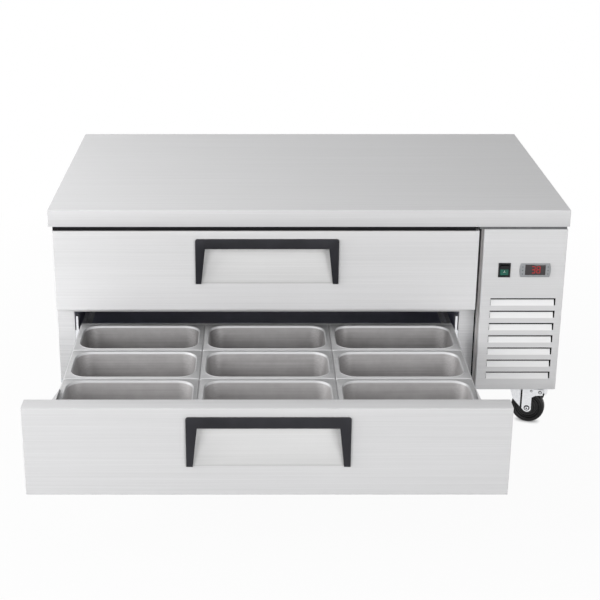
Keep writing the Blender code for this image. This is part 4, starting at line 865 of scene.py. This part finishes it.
def makePanHead(radius, height):  # a cross-recessed head about zero along +Z
    head = spun("panHead", [(0.0, height), (radius * 0.45, height * 0.97), (radius * 0.80, height * 0.76),
                            (radius * 0.97, height * 0.42), (radius, 0.0)], 20)
    for wide, deep in ((0.55, 0.22 * 0.55), (0.22 * 0.55, 0.55)):
        carved(head, addBox("recess", (-radius * wide, -radius * deep, height * 0.45),
                            (radius * wide, radius * deep, height * 2)))
    smoothed(head)
    return head


makeFaceFrame()
makeCaseSkin()
makeBayCover()
makeCoverScrews(*makeRearPanel())
print("cabinet skins done")


# Controls: the thermostat with its window, digits and keys, and the lit rocker switch

controller = {"proud": 0.0035, "gap": 0.0003, "bulge": 0.003, "steps": 8, "edge": 0.0011,
              "window": (0.0525, 0.0285),
              "windowRise": 0.0017, "windowDepth": 0.0009, "glass": 0.0004, "digits": ("abcdg", "abcdefg"),
              "digitHeight": 0.0192, "digitWidth": 0.0100, "digitGap": 0.0026, "stroke": 0.0021,
              "digitX": 0.0016, "segment": 0.0003, "point": 0.42, "key": 0.0030, "keyRise": 0.00025,
              "keyOut": 0.0325, "keyPitch": 0.0095}
# where each bar of a digit is, in shares across and up, and whether it stands upright
digitBars = {"a": (0, 1, 0), "b": (1, 0.5, 1), "c": (1, -0.5, 1), "d": (0, -1, 0), "e": (-1, -0.5, 1),
             "f": (-1, 0.5, 1), "g": (0, 0, 0)}


def makeController():
    low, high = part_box("controller")
    centre = (low + high) / 2
    half, rise = (high.x - low.x) / 2 - controller["bulge"], (high.z - low.z) / 2
    outline = []
    for side in (1, -1):
        for step in range(controller["steps"] + 1):
            share = 2 * step / controller["steps"] - 1
            bulge = controller["bulge"] * (1 - share * share)
            outline.append((centre.x + side * (half + bulge), low.y, centre.z + side * share * rise))
    bezel = cutOut("controllerBezel", outline, "y", controller["proud"] - controller["gap"])
    editing(bezel)
    roundEdges(controller["edge"], 3, lambda edge: lies(edge, 1, low.y))
    width, tall = controller["window"]
    level = centre.z + controller["windowRise"]
    across, up = (centre.x - width / 2, centre.x + width / 2), (level - tall / 2, level + tall / 2)
    cutAt(0, *across)
    cutAt(2, *up)
    pull(lambda item: item.normal.y < -0.9 and inside(item, x=across, z=up), y=controller["windowDepth"])
    pull(lambda item: item.normal.y > 0.9 and inside(item, x=across, z=up),
         y=high.y - low.y - controller["proud"])
    leave()
    fitted(bezel, "bezelGrey", "controller", smooth=32)
    back = low.y + controller["windowDepth"]
    glass = addBox("displayWindow", (across[0], back - controller["glass"], up[0]), (across[1], back, up[1]))
    softened(glass, 0.0002)
    fitted(glass, "displayWindow", smooth=32)
    makeDigits(centre.x + controller["digitX"], level, back - controller["glass"])
    key = addKey(low.y)
    keys = [copied(key, "key", Matrix.Translation((centre.x + side * controller["keyOut"], 0,
                                                   centre.z + row * controller["keyPitch"])))
            for side in (-1, 1) for row in (-1, 0, 1)]
    dropped(key)
    fitted(joined(keys, "keyMarks"), "keyPrint")


def makeDigits(start, level, face):
    wide, stroke = controller["digitWidth"], controller["stroke"]
    side, rise = wide / 2 - stroke / 2, controller["digitHeight"] / 2 - stroke / 2
    bar = addSegment(face)
    pieces = []
    for index, letters in enumerate(controller["digits"]):
        x = start + (index - 0.5) * (wide + controller["digitGap"])
        for letter in letters:
            across, up, upright = digitBars[letter]
            stretch = Matrix.Diagonal((rise if upright else wide - stroke, 1, 1, 1))
            turn = Matrix.Rotation(upright * math.pi / 2, 4, "Y")
            spot = Matrix.Translation((x + across * side, 0, level + up * rise))
            pieces.append(copied(bar, "digit", spot @ turn @ stretch))
    dropped(bar)
    fitted(joined(pieces, "displayDigits"), "digitGlow")


def addSegment(face):  # a bar one long with pointed ends, about zero on X and Z
    stroke, point = controller["stroke"], controller["point"]
    bar = addBox("segment", (-0.5, face - controller["segment"], -stroke / 2), (0.5, face, stroke / 2))
    editing(bar)
    cutAt(0, -point, point)
    pick("FACE", lambda item: abs(item.normal.x) > 0.9)
    bpy.ops.transform.resize(value=(1, 1, 0.35), center_override=(0, face, 0))
    leave()
    return bar


def addKey(face):  # a small membrane key about zero on X and Z
    half = controller["key"] / 2
    key = addBox("key", (-half, face - controller["keyRise"], -half), (half, face, half))
    editing(key)
    roundEdges(half * 0.6, 3, lambda edge: reach(edge, 1) > 0.0001)
    leave()
    return key


switch = {"flange": 0.0022, "gap": 0.0003, "rim": 0.0042, "room": 0.0023, "edge": 0.0008, "wellDepth": 0.014,
          "sink": 0.0045, "face": 0.004, "back": 0.0025, "tilt": 9.0, "halfWidth": 0.0108, "rockerEdge": 0.0009,
          "reach": 0.01315, "seam": 0.0001, "split": 0.0030, "mark": 0.0032, "markWall": 0.0009,
          "markDown": 0.42, "ringDown": 0.0014, "markRise": 0.0002}


def makeSwitch():
    low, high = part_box("switch_bezel")
    face = low.y + switch["flange"]
    bezel = addBox("switchBezel", low, (high.x, face - switch["gap"], high.z))
    editing(bezel)
    for way, width, depth in ((-1, switch["rim"], switch["wellDepth"]), (1, switch["room"], high.y - face)):
        pick("FACE", lambda item: item.normal.y * way > 0.5)
        inset(width)
        extrude(y=depth)
    roundEdges(switch["edge"], 3, lambda edge: lies(edge, 1, low.y) and bent(edge))
    leave()
    fitted(bezel, "switchBlack", "switch_bezel", smooth=32)

    pivot = Vector(((low.x + high.x) / 2, low.y + switch["sink"], (low.z + high.z) / 2))
    split, arm, seam, half = switch["split"], switch["reach"], switch["seam"], switch["halfWidth"]
    rise = arm * math.tan(math.radians(switch["tilt"]))
    skin = pivot.y - switch["face"]
    for name, ends, finish, stands in (
            ("rockerTop", (split + seam, arm), "switchBlack", ["power_rocker"]),
            ("rockerLens", (-arm, split - seam), "switchGlow", [])):
        rocker = addBox(name, (pivot.x - half, skin, pivot.z + ends[0]),
                        (pivot.x + half, pivot.y + switch["back"], pivot.z + ends[1]))
        editing(rocker)
        cutAt(2, pivot.z)
        for end in ends:
            pick("VERT", lambda vert: near(vert.co.y, skin) and near(vert.co.z, pivot.z + end))
            shift(y=-rise * abs(end) / arm)
        roundEdges(switch["rockerEdge"], 3, lambda edge: all(vert.co.y < pivot.y for vert in edge.verts)
                   and bent(edge) and not all(near(vert.co.z, pivot.z + split, 0.0002) for vert in edge.verts))
        tipped(switch["tilt"], pivot)
        leave()
        fitted(rocker, finish, *stands, body="power_rocker", smooth=32)
    makeSwitchMark(pivot, rise)


def tipped(degrees, about):
    pickAll()
    bpy.ops.transform.rotate(value=-math.radians(degrees), orient_axis="X", orient_type="GLOBAL",
                             center_override=about)


def makeSwitchMark(pivot, rise):  # a plain ring with a stroke, moulded on the lit half
    x, level = pivot.x, pivot.z - switch["reach"] * switch["markDown"]
    face = pivot.y - switch["face"] - rise * switch["markDown"]
    radius, wall, out = switch["mark"], switch["markWall"], switch["markRise"]
    ring = spun("ringMark", [(radius - wall, -out), (radius, -out), (radius, out), (radius - wall, out)], 20,
                (x, face, level - switch["ringDown"]), (0, 1, 0), closed=True)
    stroke = addBox("strokeMark", (x - wall * 0.7, face - out, level + radius * 0.85),
                    (x + wall * 0.7, face + out, level + radius * 1.85))
    mark = joined([ring, stroke], "rockerMark")
    editing(mark)
    tipped(switch["tilt"], (x, face, level))  # the lit half leans by the tilt, and rests tipped by it
    tipped(switch["tilt"], pivot)
    leave()
    fitted(mark, "paleMark", body="power_rocker")


makeController()
makeSwitch()
print("controls done")


# Food pans: a flat rim with a raised bead, drafted walls and a rounded floor

pan = {"rim": 0.013, "corner": 0.003, "wellCorner": 0.042, "steps": 8, "draft": 0.007,
       "floorRadius": 0.014, "sheet": 0.0008, "lip": 0.0036, "roll": 0.0028, "bead": 0.0007, "floorSteps": 4,
       "beadSteps": ((0.0004, 0.0007), (0.0014, 0.0), (0.0010, -0.0005), (0.0015, -0.0024)),
       "sets": (("lower_drawer", [f"third_pan_{row}_{column}" for row in (1, 2, 3) for column in (1, 2, 3)]),
                ("upper_drawer", [f"full_pan_{column}" for column in (1, 2, 3)]))}


def makePan(name, low, high):
    rimTop = high.z - pan["bead"]
    well = pan["rim"] - sum(width for width, rise in pan["beadSteps"])  # where the flat rim ends
    sheets = []
    for border, corner in ((0, pan["corner"]), (well, pan["wellCorner"])):
        sheets.append(addSheet(name, (low.x + border, low.y + border, rimTop),
                               (high.x - border, high.y - border, rimTop)))
        roundCorners(sheets[-1], corner, pan["steps"])
    piece = joined(sheets, name)
    editing(piece)
    pick("FACE", lambda item: True)
    bpy.ops.mesh.delete(type="ONLY_FACE")
    pick("EDGE", lambda edge: True)
    bpy.ops.mesh.bridge_edge_loops()
    start = well - 0.001
    pick("EDGE", lambda edge: all(low[axis] + start < vert.co[axis] < high[axis] - start
                                  for vert in edge.verts for axis in (0, 1)))
    bpy.ops.mesh.edge_face_add()
    if next(face for face in bmesh.from_edit_mesh(piece.data).faces if face.select).normal.z < 0:
        bpy.ops.mesh.flip_normals()  # so that every inset's rise is upwards
    for width, rise in pan["beadSteps"]:
        inset(width, rise)
    radius, steps = pan["floorRadius"], pan["floorSteps"]
    drop = -sum(rise for width, rise in pan["beadSteps"])
    inset(pan["draft"], -(high.z - low.z - pan["sheet"] - pan["bead"] - drop - radius))
    for step in range(steps):
        before, after = [share / steps * math.pi / 2 for share in (step, step + 1)]
        inset(radius * (math.cos(before) - math.cos(after)), -radius * (math.sin(after) - math.sin(before)))
    pick("EDGE", lambda edge: len(edge.link_faces) == 1)
    extrude(z=-pan["lip"])
    roundEdges(pan["roll"], 3, lambda edge: near(middle(edge).z, rimTop) and len(edge.link_faces) == 2
               and bent(edge, 1.3))
    consistent()
    leave()
    thickened(piece, pan["sheet"], 1.0 if faceUp(piece) < 0 else -1.0)
    softened(piece, 0.0004, 1, 50)
    smoothed(piece, 40)
    return piece


for body, nodes in pan["sets"]:
    low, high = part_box(nodes[0])
    panPattern = makePan("panPattern", low, high)
    for node in nodes:
        twin = copied(panPattern, node + "_pressed", Matrix.Translation(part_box(node)[0] - low))
        fitted(twin, "panSteel", node, body=body)
    dropped(panPattern)
print("pans done")


# Casters, modelled about their swivel axis with the wheel trailing along +X

caster = {"turns": {"front_left": -12, "front_right": -20, "rear_left": 158, "rear_right": 24},
          "trail": 0.026, "axle": 0.0445, "crown": 0.104, "half": 0.0187, "sheet": 0.0022, "fold": 0.0030,
          "crease": 0.0095, "nose": 0.042, "noseSteps": 20, "slotWide": 0.0048, "slotTop": 0.1000,
          "foot": 0.0117, "footStart": 222, "footEnd": 350, "footSteps": 12, "rear": 0.047, "bore": 0.0056,
          "front": ((-0.054, 0.112), (-0.052, 0.100), (-0.0400, 0.0660)),
          "back": ((0.0110, 0.0458), (0.0110, 0.0764), (0.0208, 0.0832), (0.0400, 0.0868), (0.0400, 0.112)),
          "tyre": ((0.0262, 0.0098), (0.0268, 0.0116), (0.0282, 0.0124), (0.0298, 0.0116), (0.0306, 0.0092),
                   (0.0320, 0.0092), (0.0328, 0.0118), (0.0346, 0.0129), (0.0362, 0.0124), (0.0372, 0.0112),
                   (0.0384, 0.0114), (0.0400, 0.0120), (0.0418, 0.0112), (0.0434, 0.0094),
                   (0.0442, 0.0066), (0.0445, 0.0034)),
          "hub": ((0.0105, 0.0136), (0.0150, 0.0139), (0.0164, 0.0134), (0.0171, 0.0114), (0.0186, 0.0100),
                  (0.0206, 0.0100), (0.0214, 0.0112), (0.0234, 0.0112), (0.0242, 0.0098), (0.0261, 0.0096)),
          "bearing": ((0.0049, 0.0140), (0.0088, 0.0140), (0.0094, 0.0136), (0.0104, 0.0136)),
          "plate": (0.095, 0.068), "plateSheet": 0.0025, "plateCorner": 0.008, "bolt": (0.038, 0.0245),
          "cup": ((0.0120, 0.1192), (0.0238, 0.1192), (0.0250, 0.1172), (0.0250, 0.1128), (0.0240, 0.1118),
                  (0.0205, 0.1118), (0.0200, 0.1130), (0.0120, 0.1130)),
          "race": ((0.0120, 0.1042), (0.0236, 0.1042), (0.0248, 0.1056), (0.0248, 0.1092), (0.0238, 0.1104),
                   (0.0190, 0.1104), (0.0184, 0.1090), (0.0120, 0.1090)),
          "post": ((0.0, 0.0990), (0.0080, 0.0990), (0.0085, 0.0998), (0.0085, 0.1014), (0.0050, 0.1014),
                   (0.0050, 0.1192)),
          "rivet": (0.0325, 0.0945), "head": (0.0052, 0.0034), "nut": (0.0054, 0.0036), "ring": 0.0078,
          "stub": 0.0022}
brake = {"pin": (0.035, 0.0955), "pinRadius": 0.0020, "halfWidth": 0.0150, "sheet": 0.0016,
         "flange": 0.0052, "flat": 0.0650, "fold": 0.0012,
         "path": ((0.0312, 0.0952), (0.0400, 0.0952), (0.0540, 0.0956), (0.0640, 0.0950), (0.0716, 0.0930),
                  (0.0748, 0.0898), (0.0746, 0.0862)),
         "padWidth": 0.0125, "padGap": 0.0046, "padStart": 64, "padEnd": 38, "padSteps": 6,
         "padTop": 0.0934, "hole": (0.0600, 0.0045)}


def swept(centre, radius, start, end, steps):  # points on an arc, from one angle to another
    return [(centre[0] + radius * math.cos(angle), centre[1] + radius * math.sin(angle))
            for angle in (math.radians(start + (end - start) * step / steps) for step in range(steps + 1))]


def makeFork():
    half, trail, crease = caster["half"], caster["trail"], caster["crease"]
    rear, crown = trail + caster["rear"], caster["crown"]
    plan = [(rear, -half)]
    for step in range(caster["noseSteps"] + 1):
        angle = -math.pi / 2 - step / caster["noseSteps"] * math.pi
        plan.append((crease + caster["nose"] * math.cos(angle), half * math.sin(angle)))
    plan.append((rear, half))
    low = caster["axle"] - caster["foot"] * 1.5
    fork = chain("forkPattern", [(x, y, low) for x, y in plan])
    extrude(z=crown - low)
    pick("EDGE", lambda edge: lies(edge, 2, crown))
    bpy.ops.mesh.edge_face_add()
    roundEdges(caster["fold"], 4, lambda edge: lies(edge, 2, crown) and len(edge.link_faces) == 2)
    consistent()
    if widestLevel(bmesh.from_edit_mesh(fork.data).faces, lambda face: face.calc_area()) < 0:
        bpy.ops.mesh.flip_normals()
    leave()
    thickened(fork, caster["sheet"])
    outline = [(trail + x, z) for x, z in caster["front"]]
    outline += swept((trail, caster["axle"]), caster["foot"], caster["footStart"], caster["footEnd"],
                     caster["footSteps"])
    outline += [(trail + x, z) for x, z in caster["back"]]
    carved(fork, cutOut("forkOutline", [(x, -half * 1.5, z) for x, z in outline], "y", half * 3), "INTERSECT")
    wide = caster["slotWide"] / 2
    carved(fork, addBox("forkSlot", (crease - wide, -half * 1.5, low),
                        (crease + wide, half * 1.5, caster["slotTop"])))
    bored(fork, 24, caster["bore"], (0, 0, crown))
    outward(fork)
    smoothed(fork, 30)
    return fork


def makeCasterPlate():
    length, width = caster["plate"]
    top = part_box("caster_plate_front_left")[1].z
    plate = addSheet("platePattern", (-length / 2, -width / 2, top), (length / 2, width / 2, top))
    roundCorners(plate, caster["plateCorner"], 5)
    thickened(plate, caster["plateSheet"])
    softened(plate, 0.0004, 2, 50)
    return joined([plate, spun("raceCup", caster["cup"], 40, closed=True),
                   spun("kingPost", caster["post"], 24)], "platePattern")


def makeBrakeLever():
    half = brake["halfWidth"]
    lever = chain("leverPattern", [(x, -half, z) for x, z in brake["path"]])
    extrude(y=2 * half)
    for side in (-half, half):
        pick("EDGE", lambda edge: all(near(vert.co.y, side) and vert.co.x < brake["flat"]
                                      for vert in edge.verts))
        extrude(z=-brake["flange"])
    roundEdges(brake["fold"], 3, bent)
    consistent()
    leave()
    thickened(lever, brake["sheet"] * (1 if faceUp(lever) > 0 else -1))
    place, radius = brake["hole"]
    bored(lever, 20, radius, (place, 0, 0.095))
    outward(lever)
    smoothed(lever, 30)
    length, outer = 2 * caster["half"], brake["pinRadius"]
    pin = spun("brakePin", [(0.0, 0.0), (outer * 0.8, 0.0), (outer, 0.0005), (outer, length - 0.0005),
                            (outer * 0.8, length), (0.0, length)], 16)
    turned = copied(pin, "brakePin", aimed((brake["pin"][0], -caster["half"], brake["pin"][1]), (0, 1, 0)))
    dropped(pin)
    return joined([lever, turned], "leverPattern")


def makeBrakePad():
    half, top = brake["padWidth"], brake["padTop"]
    outline = swept((caster["trail"], caster["axle"]), caster["axle"] + brake["padGap"],
                    brake["padStart"], brake["padEnd"], brake["padSteps"])
    (startX, startZ), (endX, endZ) = outline[0], outline[-1]
    outline += [(endX + 0.003, endZ + 0.004), (endX + 0.003, top), (startX - 0.001, top)]
    pad = cutOut("padPattern", [(x, -half, z) for x, z in outline], "y", 2 * half)
    softened(pad, 0.0008, 2, 40)
    smoothed(pad)
    return pad


def makePlateBolt():  # four hexagon heads with washers under the plate
    radius, height = caster["head"]
    head = spun("hexHead", [(0.0, height), (radius * 0.86, height), (radius, height * 0.80), (radius, 0.0)],
                6, smooth=20)
    washer = spun("washer", [(radius * 0.7, 0.0), (radius * 1.42, 0.0), (radius * 1.42, 0.0007),
                             (radius * 1.34, 0.0010), (radius * 0.7, 0.0010)], 20, closed=True)
    hexHead = joined([head, washer], "hexPattern")
    across, wide = caster["bolt"]
    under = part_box("caster_plate_front_left")[1].z - caster["plateSheet"]
    heads = [copied(hexHead, "bolt", aimed((x, y, under), (0, 0, -1), 0.4))
             for x in (-across, across) for y in (-wide, wide)]
    dropped(hexHead)
    return joined(heads, "plateBoltPattern")


def makeNut():  # a hexagon nut, and the washer and thread end that ring it, black as painted shade round the nut
    (radius, height), stub, ring = caster["nut"], caster["stub"], caster["ring"]
    nut = spun("nutPattern", [(stub, 0.0008), (radius, 0.0008), (radius, height * 0.8),
                              (radius * 0.86, height), (stub, height)], 6, smooth=20, closed=True)
    washer = spun("washer", [(radius * 0.5, 0.0), (ring, 0.0), (ring, 0.0006), (ring * 0.95, 0.0009),
                             (radius * 0.5, 0.0009)], 28, closed=True)
    thread = spun("stub", [(0.0, height + 0.0008), (stub * 0.7, height + 0.0008),
                           (stub * 0.98, height + 0.0003), (stub * 0.98, 0.0)], 16)
    return nut, joined([washer, thread], "ringPattern")


def makeAxleBolts():  # the same nut and ring at the axle, the rivet and the brake's pin, on both sides
    nut, ring = makeNut()
    trail, (rivetX, rivetZ) = caster["trail"], caster["rivet"]
    nuts, rings = [], []
    for x, z, size in ((trail, caster["axle"], 1.0), (trail + rivetX, rivetZ, 0.62), (*brake["pin"], 0.42)):
        for way in (-1, 1):
            place = aimed((x, way * caster["half"], z), (0, way, 0), 0.3) @ Matrix.Scale(size, 4)
            nuts.append(copied(nut, "bolt", place))
            rings.append(copied(ring, "ring", place))
    dropped(nut, ring)
    return joined(nuts, "boltPattern"), joined(rings, "ringPattern")


def makeWheelPart(key, steps):  # a half profile mirrored over the wheel's middle and spun about the axle
    right = caster[key]
    return spun(key + "Pattern", [*right, *[(radius, -half) for radius, half in right[::-1]]], steps,
                (caster["trail"], 0, caster["axle"]), (0, 1, 0), closed=True)


def makeCasters():
    axleBolt, axleRing = makeAxleBolts()
    # for each node: its pieces, of which the first stands for it
    layers = {"caster_plate_": ((makeCasterPlate(), "casterPlate_", "zincPlate"),
                                (makePlateBolt(), "plateBolts_", "zincPlate")),
              "caster_fork_": ((makeFork(), "casterFork_", "zincPlate"),
                               (spun("racePattern", caster["race"], 40, closed=True), "forkRace_", "zincPlate"),
                               (axleBolt, "axleBolts_", "zincPlate"), (axleRing, "axleRings_", "boltBlack")),
              "caster_wheel_": ((makeWheelPart("tyre", 64), "casterTyre_", "tyreRubber"),
                                (makeWheelPart("hub", 48), "casterHub_", "hubPlastic"),
                                (makeWheelPart("bearing", 32), "hubBearing_", "zincPlate")),
              "brake_pedal_": ((makeBrakeLever(), "brakeLever_", "zincPlate"),
                               (makeBrakePad(), "brakePad_", "gasketRubber"))}
    for corner, turn in caster["turns"].items():
        low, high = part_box("caster_plate_" + corner)
        still = Matrix.Translation(((low.x + high.x) / 2, (low.y + high.y) / 2, 0))
        spin = still @ Matrix.Rotation(math.radians(turn), 4, "Z")
        for node, parts in layers.items():
            if node + corner not in frame["nodes"]:
                continue  # the rear casters have no brake
            place, body = (still, "cabinet") if node == "caster_plate_" else (spin, node + corner)
            for index, (part, name, finish) in enumerate(parts):
                stands = [] if index else [node + corner]
                fitted(copied(part, name + corner, place), finish, *stands, body=body)
    dropped(*[part for parts in layers.values() for part, name, finish in parts])


makeCasters()
print("casters done")


# Camera at the photograph's angle

camera = {"place": (-0.1278, -3.3984, 1.6119), "down": 20.54, "yaw": -0.04, "lens": 81.49, "shift": 0.0679}


def makeCamera():
    data = bpy.data.cameras.new("camera")
    data.sensor_width, data.lens, data.shift_x = 36, camera["lens"], camera["shift"]
    view = bpy.data.objects.new("camera", data)
    view.location = camera["place"]
    view.rotation_euler = (math.radians(90 - camera["down"]), 0, math.radians(camera["yaw"]))
    bpy.context.scene.collection.objects.link(view)
    bpy.context.scene.camera = view


# Studio: a pale floor, a white surround and soft lamps

studio = {"floor": 12.0, "floorTone": 0.60, "keep": 0.045, "contact": 0.013, "contactDark": 0.95,
          "fade": (0.9, 2.2), "world": 0.25, "aim": (0, -0.1, 0.3),
          "lamps": {"key": ((-4.2, -7.0, 2.8), 4.6, 225.0), "fill": ((3.8, -7.2, 2.4), 4.6, 262.0),
                    "side": ((-3.6, -0.8, 2.0), 2.4, 97.0), "rear": ((-2.4, 2.6, 2.4), 3.4, 33.0),
                    "top": ((0.0, 0.4, 3.4), 3.2, 10.0)}}


def seenStraight(wire):  # 1 for camera, mirror and glass rays
    return wire.maths("MINIMUM", wire.node("LightPath") + wire.node("LightPath", output=3)
                      + wire.node("LightPath", output=6), 1.0)


def makeFloor():
    side = studio["floor"]
    floor = addBox("studioFloor", (-side, -side, -0.02), (side, side, 0))
    material, wire = newMaterial("floorPaper", {"roughness": 0.9, "shine": 0.5})
    shader = material.node_tree.nodes["Principled BSDF"]
    shader.inputs["Base Color"].default_value = (studio["floorTone"],) * 3 + (1,)
    far = wire.node("VectorMath", {0: wire.node("TexCoord", output=3)}, 1, operation="LENGTH")
    openAir = wire.node("AmbientOcclusion", {"Distance": studio["contact"]}, 1, samples=8)
    keep = wire.maths("MAXIMUM", ramped(far, *studio["fade"], studio["keep"], 0.0),
                      (1 - openAir) * studio["contactDark"])
    glow = wire.node("Emission", {"Color": (1, 1, 1, 1), "Strength": 1.0})
    mixed = wire.node("MixShader", {0: seenStraight(wire) * (1 - keep), 1: Wire(wire.tree, shader.outputs[0]),
                                    2: glow})
    wire.tree.links.new(mixed.socket, wire.tree.nodes["Material Output"].inputs["Surface"])
    floor.data.materials.append(material)


def makeLight():
    world = bpy.data.worlds.new("studioAir")
    bpy.context.scene.world = world
    world.use_nodes = True
    tree = world.node_tree
    tree.nodes.clear()
    wire = Wire(tree)
    air = wire.node("Background", {"Color": (1, 1, 1, 1), "Strength": studio["world"]
                                   + seenStraight(wire) * (1 - studio["world"])})
    tree.links.new(air.socket, tree.nodes.new("ShaderNodeOutputWorld").inputs["Surface"])
    for name, (place, size, power) in studio["lamps"].items():
        data = bpy.data.lights.new(name, "AREA")
        data.size, data.energy = size, power
        lamp = bpy.data.objects.new(name, data)
        lamp.location = place
        lamp.rotation_euler = (Vector(studio["aim"]) - Vector(place)).to_track_quat("-Z", "Y").to_euler()
        bpy.context.scene.collection.objects.link(lamp)
    bpy.context.scene.view_settings.view_transform = "Standard"


makeCamera()
makeFloor()
makeLight()
print("studio done")
